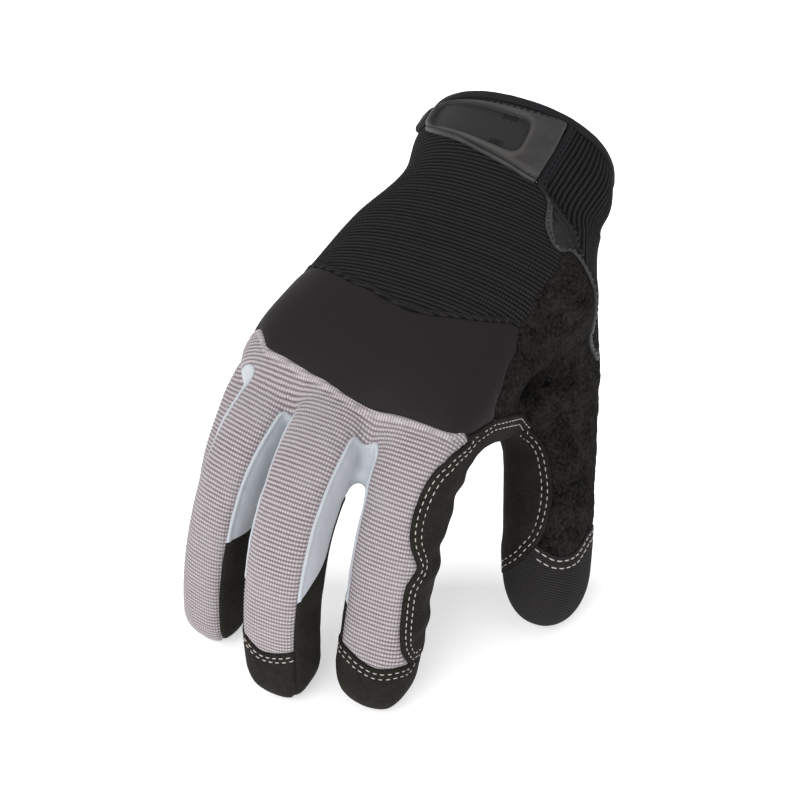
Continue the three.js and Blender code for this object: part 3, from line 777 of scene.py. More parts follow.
def gusset_area(cloth):
    foot = -cloth.past_share("palm", smooth(GUSSET_FOOT, "along", cloth.angle("palm"), "turn"))
    return np.minimum(np.minimum(gusset_left(cloth), foot), -cloth.past_angle("palm", GUSSET_FAR))


def ribs(cloth, phase, pitch):
    """The panel with edges laid along the top and the foot of each rib, and the phase"""
    cloth = Cloth(np.hstack([cloth.data, phase[:, None]]), cloth.faces)
    for turn in range(4):
        values = snap(cloth.data[:, -1], pitch * 0.06, pitch / 2)
        cloth, _ = split(cloth, values, pitch / 2, turn, 4)
    return cloth, cloth.data[:, -1] / pitch


def elastic_finish():
    finish = Finish("ribbed black elastic", 0.85)
    crown = finish.ramp(finish.value("rib"), 0.1, 0.9)
    beads = finish.math("SINE", finish.math("MULTIPLY", finish.value("run"), 2 * math.pi / 1.1))
    bead = finish.ramp(beads, -1, 0.6)
    tone = finish.math("MULTIPLY", crown, finish.math("MULTIPLY_ADD", bead, 0.6, 0.4))
    finish.set("Base Color", finish.blend(tone, shade(12, 12, 13), shade(50, 48, 50)))
    finish.set("Normal", finish.bump(finish.math("MULTIPLY", bead, crown), 0.25, 0.8))
    return finish.material


def dark_thread_finish():
    finish = Finish("black sewing thread", 0.55)
    finish.set("Base Color", shade(16, 16, 18))
    finish.set("Normal", finish.bump(finish.noise(0.2, 1), 0.1))
    return finish.material


DARK_THREAD = dark_thread_finish()
ELASTIC = elastic_finish()
gusset, rest = cut_out(rest, gusset_area)
hem, _ = cut_out(gusset, lambda c: HEM_WIDTH - gusset_left(c))
gusset, phase = ribs(gusset, np.radians(gusset.angle("palm")) * GUSSET_REACH, ELASTIC_PITCH)
rib = 0.5 + 0.5 * np.cos(2 * np.pi * phase)
run = gusset.share("palm") * PALM_LENGTH
soft = rise(from_edge(gusset), 0, 2) * rise(gusset_left(gusset), HEM_WIDTH - 0.6, HEM_WIDTH + 1)
sag = 0.7 * mottle(gusset.points * [1, 0.35, 1], 7, 11) * soft
cuff_gusset = mesh_object("ribbed_cuff_gusset", [
    sewn(gusset, -0.35 + 0.39 * rib * soft + sag, 1.8, ELASTIC, rib=rib, run=run)])
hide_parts("cuff_gusset_knit")
area_of(gusset)
hem, depth = terraced(hem, from_edge(hem), (0.4, 0.9))
hem_height = 0.05 + 0.6 * dome(depth, 1.3)
seam = lines_at(hem, gusset_left(hem), HEM_WIDTH * 0.7)
gusset_hem = mesh_object("gusset_hem", [
    sewn(hem, hem_height, 0.15, BINDING), stitches(seam, 2.6, 1.7, 0.22, 0.72, DARK_THREAD)])

# Slit binding. The rounded slit that the gusset closes is edged with smooth tape, rolled
# over the knit on one side and the terry on the other, with a dark seam along it.
SLIT_LEFT = table("at low", (0.03, 45), (0.2, 47), (0.22, 53), (0.24, 57), (0.256, 58),
                  (0.317, 60), (0.338, 62), (0.361, 65), (0.37, 69))
SLIT_FOOT = table("turn along", (58, 0.33), (62, 0.352), (65, 0.364), (69, 0.367), (72, 0.348),
                  (75, 0.35), (79, 0.366), (83, 0.383), (90, 0.405), (100, 0.42), (110, 0.42),
                  (118, 0.41))


def bump(distance, centre, width):
    """A rounded ridge, 1 high, at one distance"""
    return np.exp(-((distance - centre) / width) ** 2)


def slit_area(cloth):
    foot = -cloth.past_share("palm", smooth(SLIT_FOOT, "along", cloth.angle("palm"), "turn"))
    left = cloth.past_angle("palm", smooth(SLIT_LEFT, "low", cloth.share("palm")))
    return np.minimum(np.minimum(left, foot), -cloth.past_angle("palm", GUSSET_FAR))


def tape_finish():
    finish = Finish("smooth slit tape", 0.42, 0, 0.3)
    highlight_patches = finish.noise(3, 3)
    # The roll's crest is painted lighter: a painted highlight, stronger in some patches than others
    rolled = finish.math("MULTIPLY", finish.value("roll"), finish.ramp(highlight_patches, 0.2, 0.7, 0.6, 1.0))
    finish.set("Base Color", finish.blend(rolled, shade(20, 20, 22), shade(62, 62, 65)))
    finish.set("Normal", finish.bump(finish.noise(1.2, 3), 0.15, 0.6))
    return finish.material


slit, rest = cut_out(rest, slit_area)
slit, depth = terraced(slit, from_edge(slit), (0.35, 0.8, 1.2))
across = slit_area(slit)
rolled = bump(across, 1.0, 1.0)
slit_height = 1.0 * rolled - 0.9 * rise(across, 1.8, 3.2) * rise(depth, 0, 1)
slit_height += 0.2 * mottle(slit.points, 1.4, 5) - 0.15
seam = lines_at(slit, across, 0.9)
# The roll's shape also sets where the tape's painted highlight falls
slit_binding = mesh_object("slit_edge_tape", [
    sewn(slit, slit_height, 1.8, tape_finish(), roll=rolled),
    stitches(seam, 2.4, 1.5, 0.2, 0.85, DARK_THREAD)])
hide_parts("slit_binding")

# Fingertip caps. The first two fingers have caps of the palm's leather, with a narrow
# turned edge and two rows of pale thread just past the seam with the knit.
INDEX_CAP = table("turn along", (-180, 0.79), (-80, 0.775), (-35, 0.783), (-5, 0.805), (22, 0.813),
                  (57, 0.801), (88, 0.805), (180, 0.8))
MIDDLE_CAP = table("turn along", (-180, 0.75), (-70, 0.748), (-32, 0.761), (-8, 0.779),
                   (26, 0.767), (53, 0.757), (180, 0.755))
ROWS = (1.8, 3.8)
STEPS = (0.3, 0.8, 1.35, 1.8, 2.25, 2.8, 3.35, 3.8, 4.25, 5)
PALE_STITCH = (2.6, 1.6, 0.2)


def leather_finish():
    finish = Finish("black synthetic leather", 0.86, 0.0, 0.1)
    nap = finish.noise(0.8, 5, 0.7)
    patches = finish.noise(9, 4, 0.55)
    tone = finish.math("MULTIPLY_ADD", nap, 0.65, finish.math("MULTIPLY", patches, 0.35))
    finish.set("Base Color", finish.blend(finish.ramp(tone, 0.3, 0.7), shade(16, 15, 13),
                                          shade(46, 43, 39)))
    fine = finish.bump(nap, 0.16, 0.9)
    finish.set("Normal", finish.bump(finish.noise(2.2, 3), 0.3, 0.5, fine))
    return finish.material


def thread_finish():
    finish = Finish("pale sewing thread", 0.6, 0.2)
    twist = finish.noise(0.3, 2)
    finish.set("Base Color", finish.blend(twist, shade(158, 152, 146), shade(214, 208, 202)))
    finish.set("Normal", finish.bump(twist, 0.08))
    return finish.material


LEATHER = leather_finish()
THREAD = thread_finish()


def stitched_leather(cloth, lead, thick):
    """Leather layers: raised past its leading edge, and quilted by its rows of stitches"""
    cloth, lead = terraced(cloth, lead, STEPS)
    edge = from_edge(cloth)
    height = -0.05 + thick * dome(lead, 1.0) * rise(edge, -0.3, 0.5)
    for row in ROWS:
        height -= 0.26 * bump(lead, row, 0.42)
    height += 0.16 * mottle(cloth.points, 4, 21) * rise(edge, 0, 3)
    height -= 0.3 * (1 - rise(edge, 0, 1)) * (lead > 1)
    layers = [sewn(cloth, height, 1.6, LEATHER)]
    runs = [run for row in ROWS for run in lines_at(cloth, lead, row)]
    if runs:
        layers.append(stitches(runs, *PALE_STITCH, thick - 0.17, THREAD))
    return cloth, layers


def fingertip_cap(rest, digit, edge, far, name, node):
    """Cuts and sews one cap, and gives back the cloth that is left"""

    def past_edge(cloth):
        return cloth.past_share(digit, smooth(edge, "along", cloth.angle(digit), "turn"))

    def cap_area(cloth):
        area = np.minimum(past_edge(cloth), cloth.own(digit) + 0.5)
        return np.minimum(area, -cloth.past_angle(digit, far))

    def upper_edge(cloth):
        turn = cloth.angle(digit)
        return (turn > -80) & (turn < min(far, 80) - 1) & (past_edge(cloth) < 0.3)

    cap, rest = cut_out(rest, cap_area)
    cap, layers = stitched_leather(cap, from_edge(cap, upper_edge), 0.45)
    piece = mesh_object(name, layers)
    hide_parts(node)
    area_of(cap)
    return rest


rest = fingertip_cap(rest, "index", INDEX_CAP, 190, "first_fingertip_cap", "index_tip_cap")
rest = fingertip_cap(rest, "middle", MIDDLE_CAP, 49, "middle_fingertip_cap", "middle_tip_cap")

# Saddle patch. Inside the thumb's crotch a leather patch takes the wear. Its edge curves over
# the side of the thumb, laid on top of the terry and the cap with two rows of pale thread.
SADDLE_EDGE = table("at low high", (0.38, -172, -132), (0.4, -172, -118), (0.42, -172, -110),
                    (0.437, -172, -101), (0.458, -172, -89), (0.487, -172, -77),
                    (0.525, -172, -68), (0.575, -172, -63), (0.621, -172, -60.5),
                    (0.66, -172, -61), (0.697, -172, -63.5), (0.738, -172, -68.5),
                    (0.772, -172, -76), (0.8, -172, -88), (0.826, -172, -100),
                    (0.85, -172, -120), (0.87, -172, -150))
CROTCH_UP = np.array([0, 0.643, 0.766])
CROTCH_EDGE = (-12.6, -100.8)
CROTCH_EDGE_RISE = 0.2
CROTCH_CORNER = (-3.8, -98.9)
CROTCH_TURN = (0.643, 0.766)
SADDLE_TOP = 0.385
SADDLE_END = 0.865
OVERLAY = 0.75


def sides(cloth, tube, rows):
    """Millimetres inside a strip of a tube between two edges given in degrees"""
    share = cloth.share(tube)
    start = cloth.past_angle(tube, smooth(rows, "low", share))
    return np.minimum(start, -cloth.past_angle(tube, smooth(rows, "high", share)))


def above_crotch(cloth):
    """Millimetres above the edge that the leather has in the thumb's crotch"""
    across = cloth.points @ HAND[0] - CROTCH_EDGE[0]
    return cloth.points @ (CROTCH_UP @ HAND) - CROTCH_EDGE[1] - CROTCH_EDGE_RISE * across


def past_crotch(cloth):
    """Millimetres past the end of that edge, where it turns down the side of the thumb"""
    across = cloth.points @ HAND[0] - CROTCH_CORNER[0]
    up = cloth.points @ (CROTCH_UP @ HAND) - CROTCH_CORNER[1]
    return CROTCH_TURN[0] * across + CROTCH_TURN[1] * up


def saddle_area(cloth):
    area = np.minimum(sides(cloth, "thumb", SADDLE_EDGE), 6 - cloth.gap("thumb"))
    below = -np.maximum(above_crotch(cloth), past_crotch(cloth))
    area = np.minimum(area, np.maximum(below, cloth.gap("crotch") - 3))
    area = np.minimum(area, -cloth.past_share("thumb", SADDLE_END))
    return np.minimum(area, cloth.past_share("thumb", SADDLE_TOP))


def overlay_edge(cloth):
    """Where leather lies on its neighbours and is sewn down by two rows"""
    index = (cloth.gap("index") < 3) & (cloth.share("index") > 0.05)
    index &= (cloth.share("index") < 0.815) & (np.abs(cloth.angle("index") - 55) < 45)
    palm = (cloth.share("palm") > 0.73) & (cloth.share("palm") < 0.93)
    palm &= (np.abs(cloth.angle("palm") - 85) < 30) & (cloth.points[:, 0] > 30)
    edge = smooth(SADDLE_EDGE, "high", cloth.share("thumb"))
    thumb = (np.abs(cloth.past_angle("thumb", edge)) < 0.5) & (cloth.gap("thumb") < 4)
    thumb &= (cloth.share("thumb") > 0.36) & (cloth.share("thumb") < 0.86)
    corner = np.maximum(above_crotch(cloth), past_crotch(cloth))
    crotch = (np.abs(corner) < 0.4) & (cloth.gap("crotch") < 8)
    return index | palm | thumb | crotch


def leather_height(cloth, thick):
    """Raised along the laid-on edge, and pulled down by each row of stitches"""
    lead, edge = cloth.data[:, -1], cloth.data[:, -2]
    on_top = thick * dome(lead, 1.0) * (1 - rise(lead, 9, 16))
    height = -0.05 + np.where(lead > 90, 0, on_top) - 0.3 * (1 - rise(edge, 0, 1)) * (lead > 1)
    for row in ROWS:
        height -= 0.26 * bump(lead, row, 0.42)
    return height + 0.2 * mottle(cloth.points, 5, 21) * rise(edge, 0, 3)


def leather_layers(cloth, thick):
    """Leather laid on its neighbours: its raised edge, and its rows of pale thread"""
    layers = [sewn(cloth, leather_height(cloth, thick), 1.6, LEATHER)]
    runs = [run for row in ROWS for run in lines_at(cloth, cloth.data[:, -1], row)]
    if runs:
        layers.append(stitches(runs, *PALE_STITCH, thick - 0.2, THREAD))
    return layers


def edged(cloth):
    """The leather with edges laid along its laid-on edge and its rows of stitches"""
    lead = from_edge(cloth, overlay_edge)
    cloth = Cloth(np.hstack([cloth.data, from_edge(cloth)[:, None]]), cloth.faces)
    return terraced(cloth, lead, STEPS)[0]


saddle, rest = cut_out(rest, saddle_area)
saddle = edged(saddle)
saddle_patch = mesh_object("thumb_saddle", leather_layers(saddle, OVERLAY))
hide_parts("thumb_saddle_patch")
area_of(saddle)

# Thumb cap. The end of the thumb is ribbed black twill, with fine slanted ribs, sewn to the
# terry above it by two rows of pale thread.
CAP_ROWS = (1.5, 4.1)
THUMB_REACH = 15
TWILL_SLANT = 0.15
THUMB_CAP = table("turn along", (-180, 0.8), (-130, 0.8), (-105, 0.79), (-80, 0.777), (-67, 0.792),
                  (-55, 0.805), (-42, 0.805), (-24, 0.793), (-9, 0.772), (14, 0.74), (60, 0.72),
                  (110, 0.76), (180, 0.8))


def twill_finish():
    finish = Finish("ribbed black twill", 0.8)
    slant = finish.math("SINE", finish.math("MULTIPLY", finish.value("run"), 2 * math.pi / 0.85))
    across = finish.math("SINE", finish.math("MULTIPLY", finish.value("cross"), 2 * math.pi / 0.7))
    crown = finish.ramp(finish.math("MULTIPLY_ADD", across, 0.35, slant), -1.2, 1.2)
    finish.set("Base Color", finish.blend(crown, shade(28, 27, 27), shade(52, 50, 50)))
    finish.set("Normal", finish.bump(crown, 0.2, 0.7))
    return finish.material


def toward_back(cloth):
    return (cloth.angle("thumb") > -78) & (cloth.angle("thumb") < 90)


cap, rest = cut_out(rest, lambda c: np.minimum(2.5 - c.gap("thumb"), c.past_share(
    "thumb", smooth(THUMB_CAP, "along", c.angle("thumb"), "turn"))))
cap, lead = terraced(cap, from_edge(cap, toward_back), (0.4, 0.9, 1.5, 2.1, 2.8, 3.5, 4.1, 4.6))
cross = np.radians(cap.angle("thumb")) * THUMB_REACH
run = cap.share("thumb") * DIGITS["thumb"]["length"] - cross * TWILL_SLANT
cap_height = 0.1 + 0.25 * dome(lead, 1)
for row in CAP_ROWS:
    cap_height -= 0.25 * bump(lead, row, 0.4)
rows = [run for row in CAP_ROWS for run in lines_at(cap, lead, row)]
thumb_cap = mesh_object("twill_thumb_cap", [
    sewn(cap, cap_height, 1.6, twill_finish(), run=run, cross=cross),
    stitches(rows, 3.0, 2.2, 0.24, 0.26, THREAD)])
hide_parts("thumb_tip_cap")
area_of(cap)

# Finger backs. One piece of grey rib knit runs from the knuckle band over all four fingers.
# Its ribs go round the fingers, and its edge at the band is oversewn into a lumpy ridge.
KNUCKLE_SEAM = table("across along", (-0.9, 0.78), (-0.44, 0.813), (-0.39, 0.843), (-0.35, 0.872),
                     (-0.3, 0.884), (-0.23, 0.896), (-0.16, 0.908), (-0.07, 0.921), (0.03, 0.938),
                     (0.1, 0.941), (0.19, 0.934), (0.29, 0.931), (0.37, 0.929), (0.41, 0.92),
                     (0.44, 0.9), (0.9, 0.88))
KNIT_SIDES = table("at low high", (0.7, -92, 78), (0.8, -92, 86), (0.835, -92, 84), (0.86, -92, 80),
                   (0.88, -92, 76), (0.92, -92, 70), (1.1, -92, 66))
CROTCHES = table("across along", (-0.6, 134), (-0.347, 141), (-0.209, 149.5), (0.06, 152.5),
                 (0.09, 153.5), (0.13, 152), (0.16, 150), (0.25, 149), (0.6, 150))
FINGER_EDGES = {
    "index": table("at low high", (0.0, -46, 70), (0.095, -46, 71), (0.158, -46, 49), (0.21, -47, 37),
                   (0.265, -48, 32), (0.338, -48, 31), (0.399, -48, 37), (0.44, -48, 48),
                   (0.463, -48, 54), (0.49, -48, 49), (0.522, -48, 43), (0.601, -46, 43),
                   (0.737, -46, 53), (0.8, -46, 75), (0.82, -46, 91)),
    "middle": table("at low high", (0.02, -55, 50), (0.765, -50, 48)),
    "ring": table("at low high", (0.02, -30, 42), (0.2, -33, 41), (0.31, -44, 39), (0.4, -52, 38),
                  (0.9, -52, 46), (1, -60, 60)),
    "little": table("at low high", (0.02, -70, 40), (0.3, -65, 42), (0.9, -56, 45), (1, -60, 60)),
}
FINGER_STOPS = {"index": 0.84, "middle": 0.82, "ring": 0.985, "little": 0.985}
GREY_PITCH = 1.55


def past_seam(cloth, seam):
    """Millimetres towards the fingers from a seam that crosses the back of the hand"""
    across = cloth.points[:, 0] / PALM_BREADTH
    return -cloth.points[:, 1] - smooth(seam, "along", across, "across") * PALM_LENGTH


def knit_area(cloth):
    along = smooth(CROTCHES, "along", cloth.points[:, 0] / PALM_BREADTH, "across")
    area = np.minimum(along + cloth.points[:, 1], sides(cloth, "palm", KNIT_SIDES))
    area = np.minimum(area, cloth.up("palm") + 0.3 * PALM_DEPTH)
    for name in FINGERS:
        others = np.min([cloth.gap(other) for other in FINGERS if other != name], axis=0)
        strip = np.minimum(sides(cloth, name, FINGER_EDGES[name]), others - cloth.gap(name))
        strip = np.minimum(strip, -cloth.past_share(name, FINGER_STOPS[name]))
        strip = np.minimum(strip, cloth.past_share(name, -0.02))
        area = -bridge(-area, -strip, 4)
    return np.minimum(area, past_seam(cloth, KNUCKLE_SEAM))


def rib_course(cloth):
    """Millimetres of knit from the cuff to each point, measured over the knuckles"""
    palm = TUBES["palm"]
    total = cloth.past_share("palm", 0) + cloth.up("palm") * np.radians(
        smooth(PALM, "bend", cloth.share("palm"), "along"))
    weights = [np.exp(-np.maximum(cloth.gap("palm"), 0) / 2.5)]
    courses = [total]
    for name in FINGERS:
        tube = TUBES[name]
        turn = np.radians(straight(DIGITS[name]["bends"], "turn", np.clip(cloth.share(name), 0, 1)))
        first = np.radians(DIGITS[name]["bends"]["turn"][0])
        course = (cloth.past_share(name, 0) + DIGITS[name]["depth"] / 2 * (turn - first)
                  + DIGITS[name]["along"] * PALM_LENGTH + 4)
        weights.append(np.exp(-np.maximum(cloth.gap(name), 0) / 2.5))
        courses.append(course)
    weights = np.array(weights)
    return (weights * np.array(courses)).sum(0) / weights.sum(0)


def grey_knit_finish():
    finish = Finish("grey rib knit", 0.82, 0.1)
    crown = finish.ramp(finish.value("rib"), 0.05, 0.85)
    beads = finish.math("MULTIPLY", finish.value("run"), 2 * math.pi / 0.95)
    bead = finish.ramp(finish.math("SINE", beads), -1, 0.2)
    pale = finish.math("MULTIPLY", crown, finish.math("MULTIPLY_ADD", bead, 0.6, 0.4))
    knit = finish.blend(pale, shade(98, 88, 91), shade(196, 188, 190))
    soft = finish.noise(14, 3)
    finish.set("Base Color", finish.blend(finish.ramp(soft, 0.3, 0.7, 0.0, 0.22), knit,
                                          shade(170, 166, 172)))
    relief = finish.math("MULTIPLY", bead, crown)
    finish.set("Normal", finish.bump(relief, 0.22, 0.8))
    return finish.material


knit, rest = cut_out(rest, knit_area)
knit, course = ribs(knit, rib_course(knit), GREY_PITCH)
rib = 0.5 + 0.5 * np.cos(2 * np.pi * course)
edge = from_edge(knit)
at_band = past_seam(knit, KNUCKLE_SEAM)
near_band = bump(at_band, 1.3, 0.9) * rise(sides(knit, "palm", KNIT_SIDES), 0.5, 5)
lumps = 0.5 + 0.5 * mottle(knit.points, 1.0, 31)
height = -0.25 + 0.36 * rib * rise(edge, 0, 1.2) * (1 - 0.8 * near_band)
height += near_band * (0.15 + 0.45 * lumps) - 0.35 * bump(at_band, 2.9, 0.45)
height -= 0.3 * (1 - rise(edge, 0, 1.5))
rib = rib * (1 - near_band) + near_band * (0.45 + 0.55 * lumps)
finger_backs = mesh_object("grey_knit_finger_backs", [
    sewn(knit, height, 1.5, grey_knit_finish(), rib=rib, run=knit.points[:, 0])])
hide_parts("finger_back_knit")
area_of(knit)

# Knuckle band. A smooth black fabric over thin foam crosses the knuckles, a little fuller
# in the middle than at its sewn edges.
BACK_SEAM = table("across along", (-0.9, 0.6), (-0.4, 0.615), (-0.34, 0.627), (-0.29, 0.64),
                  (-0.23, 0.654), (-0.17, 0.669), (-0.09, 0.677), (-0.05, 0.686), (0.01, 0.693),
                  (0.07, 0.7), (0.14, 0.694), (0.2, 0.681), (0.31, 0.65), (0.42, 0.608), (0.9, 0.58))
BACK_SIDES = table("at low high", (-0.1, -96, 60), (0.2, -96, 60), (0.33, -96, 66), (0.37, -96, 69),
                   (0.468, -96, 70), (0.512, -96, 70), (0.555, -96, 72), (0.606, -97, 73),
                   (0.66, -98, 77), (0.714, -98, 78), (0.758, -99, 81), (0.792, -100, 83),
                   (0.812, -100, 87), (0.835, -100, 84), (0.86, -100, 80), (0.88, -100, 76),
                   (0.92, -100, 70), (1.1, -100, 66))


def band_area(cloth):
    return np.minimum(np.minimum(past_seam(cloth, BACK_SEAM), sides(cloth, "palm", BACK_SIDES)),
                      -past_seam(cloth, KNUCKLE_SEAM))


def band_finish():
    finish = Finish("smooth black band cloth", 0.62, 0.0, 0.08)
    weave = finish.noise(0.45, 2)
    finish.set("Base Color", finish.blend(weave, shade(30, 27, 28), shade(42, 38, 40)))
    finish.set("Normal", finish.bump(weave, 0.07, 0.7))
    return finish.material


band, rest = cut_out(rest, band_area)
band, depth = terraced(band, from_edge(band), (0.4, 0.9, 1.6, 2.6))
pad = 0.9 * dome(depth, 7) - 0.35 + 0.12 * mottle(band.points, 9, 41) * rise(depth, 0, 5)
knuckle_band = mesh_object("padded_knuckle_band", [sewn(band, pad, 1.8, band_finish())])
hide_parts("knuckle_band")

# Back of the hand. Black rib knit covers the hand from the cuff to the band. It is laid over
# the band's edge and oversewn, which leaves a lumpy ridge and a line of dots beside it.
BLACK_PITCH = 1.7


def back_area(cloth):
    return np.minimum(-past_seam(cloth, BACK_SEAM), sides(cloth, "palm", BACK_SIDES))


def black_knit_finish():
    finish = Finish("black rib knit", 0.85)
    crown = finish.ramp(finish.value("rib"), 0.1, 0.9)
    beads = finish.math("MULTIPLY", finish.value("run"), 2 * math.pi / 1.05)
    bead = finish.ramp(finish.math("SINE", beads), -1, 0.2)
    pale = finish.math("MULTIPLY", crown, finish.math("MULTIPLY_ADD", bead, 0.55, 0.45))
    finish.set("Base Color", finish.blend(pale, shade(18, 17, 18), shade(52, 50, 51)))
    finish.set("Normal", finish.bump(finish.math("MULTIPLY", bead, crown), 0.22, 0.8))
    return finish.material


back, rest = cut_out(rest, back_area)
back, course = ribs(back, rib_course(back), BLACK_PITCH)
rib = 0.5 + 0.5 * np.cos(2 * np.pi * course)
edge = from_edge(back)
at_band = -past_seam(back, BACK_SEAM)
near_band = bump(at_band, 1.3, 0.9)
lumps = 0.5 + 0.5 * mottle(back.points, 1.0, 51)
height = -0.2 + 0.38 * rib * rise(edge, 0, 1.2) * (1 - 0.8 * near_band)
height += near_band * (0.4 + 0.5 * lumps) - 0.3 * bump(at_band, 2.9, 0.45)
rib = rib * (1 - near_band) + near_band * (0.3 + 0.5 * lumps)
back_of_hand = mesh_object("black_knit_hand_back", [
    sewn(back, height, 1.5, black_knit_finish(), rib=rib, run=back.points[:, 0])])
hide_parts("hand_back_knit")
area_of(back)

# Fourchettes. The walls between the fingers and the web that joins each pair are one strip
# of pale brushed cloth, folded round the crotch, with a rounded edge along the knit.
WALLS = {
    "fourchette_index_middle": (
        ("middle", table("at low high", (0.1, 40, 118), (0.5, 40, 112), (0.52, 40, 104),
                         (0.56, 40, 78), (0.608, 40, 46), (0.63, 40, 38))),
        ("index", table("at low high", (0.1, -118, -40), (0.55, -118, -40), (0.63, -56, -40),
                        (0.66, -42, -40))),
        (0.02, 0.22, 0.9)),
    "fourchette_middle_ring": (
        ("ring", table("at low high", (0.08, 34, 118), (0.53, 34, 110), (0.556, 34, 85),
                       (0.575, 34, 48), (0.59, 34, 36))),
        ("middle", table("at low high", (0.08, -118, -44), (0.5, -118, -44), (0.58, -60, -44),
                         (0.6, -48, -44))),
        (-0.28, -0.1, 0.88)),
    "fourchette_ring_little": (
        ("little", table("at low high", (0.1, 36, 118), (0.46, 36, 118), (0.55, 36, 52))),
        ("ring", table("at low high", (0.04, -118, -26), (0.24, -118, -32), (0.44, -118, -46),
                       (0.53, -62, -46))),
        (-0.42, -0.28, 0.8)),
}
WEB_DEPTH = 26


def brushed_finish():
    finish = Finish("pale brushed cloth", 0.88, 0.15)
    nap = finish.noise(0.6, 4, 0.65)
    cloud = finish.noise(7, 3)
    tone = finish.math("MULTIPLY_ADD", nap, 0.5, finish.math("MULTIPLY", cloud, 0.45))
    finish.set("Base Color", finish.blend(tone, shade(160, 165, 172), shade(202, 206, 212)))
    finish.set("Normal", finish.bump(nap, 0.18, 0.8))
    return finish.material


def wall_area(cloth, left, right, web):
    """The web between two fingers, joined to the wall of each"""
    across = cloth.points[:, 0] / PALM_BREADTH
    inside = np.minimum(across - web[0], web[1] - across) * PALM_BREADTH
    area = np.minimum(inside, -cloth.points[:, 1] - web[2] * PALM_LENGTH)
    area = np.minimum(area, cloth.points[:, 1] + 1.06 * PALM_LENGTH)
    area = np.minimum(area, cloth.points[:, 2] + WEB_DEPTH)
    for name, rows in (left, right):
        others = np.min([cloth.gap(other) for other in FINGERS if other != name], axis=0)
        strip = np.minimum(sides(cloth, name, rows), others - cloth.gap(name))
        strip = np.minimum(strip, -cloth.past_share(name, rows["at"][-1]))
        strip = np.minimum(strip, cloth.past_share(name, rows["at"][0]))
        area = -bridge(-area, -strip, 2)
    return area


def beside_knit(cloth):
    return knit_area(cloth) > -0.6


BRUSHED = brushed_finish()
for node, parts in WALLS.items():
    wall, rest = cut_out(rest, wall_area(rest, *parts))
    wall, lead = terraced(wall, from_edge(wall, beside_knit), (0.4, 0.9, 1.6, 2.4))
    height = -0.5 + 0.6 * bump(lead, 0.8, 0.8) + 0.25 * mottle(wall.points, 5, 61)
    piece = mesh_object(node.replace("fourchette", "brushed_fourchette"), [
        sewn(wall, height, 1.2, BRUSHED)])
    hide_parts(node)
    area_of(wall)

# Terry. Black terry cloth lines the thumb's back and the side of the hand, to wipe a brow.
TERRY_PALM = table("at low high", (0.3, 50, 112), (0.6, 50, 112), (0.7, 60, 112), (0.765, 60, 104),
                   (0.79, 60, 95), (0.81, 60, 87), (0.825, 60, 78))
TERRY_THUMB = table("at low high", (0.04, -100, 100), (0.2, -125, 104), (0.35, -145, 105),
                    (0.42, -145, 102), (0.5, -130, 100), (0.81, -120, 100))


def terry_area(cloth):
    strip = np.minimum(sides(cloth, "palm", TERRY_PALM), -cloth.past_share("palm", 0.82))
    strip = np.minimum(strip, cloth.past_share("palm", 0.28))
    thumb = np.minimum(sides(cloth, "thumb", TERRY_THUMB), 6 - cloth.gap("thumb"))
    thumb = np.minimum(thumb, cloth.past_share("thumb", 0.02))
    past = np.minimum(past_crotch(cloth), 14 - cloth.gap("thumb"))
    above = np.maximum(above_crotch(cloth), past)
    area = np.maximum(-bridge(-strip, -thumb, 6), np.minimum(4 - cloth.gap("crotch"), above))
    past_saddle = cloth.past_angle("thumb", smooth(SADDLE_EDGE, "high", cloth.share("thumb")))
    beside = (cloth.share("thumb") > 0.39) & (cloth.angle("thumb") < 60) & (cloth.gap("thumb") < 5)
    past_saddle = np.where(beside, past_saddle, -9)
    return np.minimum(area, np.maximum(np.maximum(above, past_saddle), cloth.gap("crotch") - 8))


def terry_finish():
    finish = Finish("black terry cloth", 0.95, 0.0, 0.02)
    loops = finish.noise(1.3, 4, 0.7)
    brushed = finish.noise(8, 3, 0.6)
    # The pile's tone is partly its own and partly painted sheen: the loops and the larger brushed patches
    # are lighter in places
    tone = finish.math("MULTIPLY_ADD", loops, 0.75, finish.math("MULTIPLY", brushed, 0.4))
    finish.set("Base Color", finish.blend(finish.ramp(tone, 0.42, 0.74), shade(9, 9, 9),
                                          shade(52, 50, 48)))
    finish.set("Normal", finish.bump(loops, 1.2, 1.0))
    return finish.material


terry, rest = cut_out(rest, terry_area)
depth = from_edge(terry)
pile = 0.25 * mottle(terry.points, 1.6, 71) + 0.3 * mottle(terry.points, 6, 72)
terry_height = 0.1 + pile * rise(depth, 0, 1.5) - 0.4 * (1 - rise(depth, 0, 1.6))
thumb_back = mesh_object("terry_thumb_back", [sewn(terry, terry_height, 1.6, terry_finish())])
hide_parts("thumb_back_terry")
area_of(terry)

# Palm leather. Synthetic leather covers the palm and the fronts of the digits, and comes
# over the first finger's outer side with a wavy edge, raised on the knit and sewn down by
# two rows of pale thread.
INDEX_SIDE = table("at low high", (0.06, 20, 112), (0.82, 20, 112))


def index_side_area(cloth):
    others = np.min([cloth.gap(other) for other in FINGERS[1:]], axis=0)
    area = np.minimum(sides(cloth, "index", INDEX_SIDE), others - cloth.gap("index"))
    area = np.minimum(area, cloth.past_share("index", 0.06))
    return np.minimum(area, 4 - cloth.gap("index"))


side, rest = cut_out(edged(rest), index_side_area)
index_side = mesh_object("first_finger_side", leather_layers(side, OVERLAY))
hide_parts("index_side_panel")
area_of(side)
palm_leather = mesh_object("palm_and_finger_fronts", leather_layers(rest, OVERLAY))
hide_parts("palm_leather")
area_of(rest)

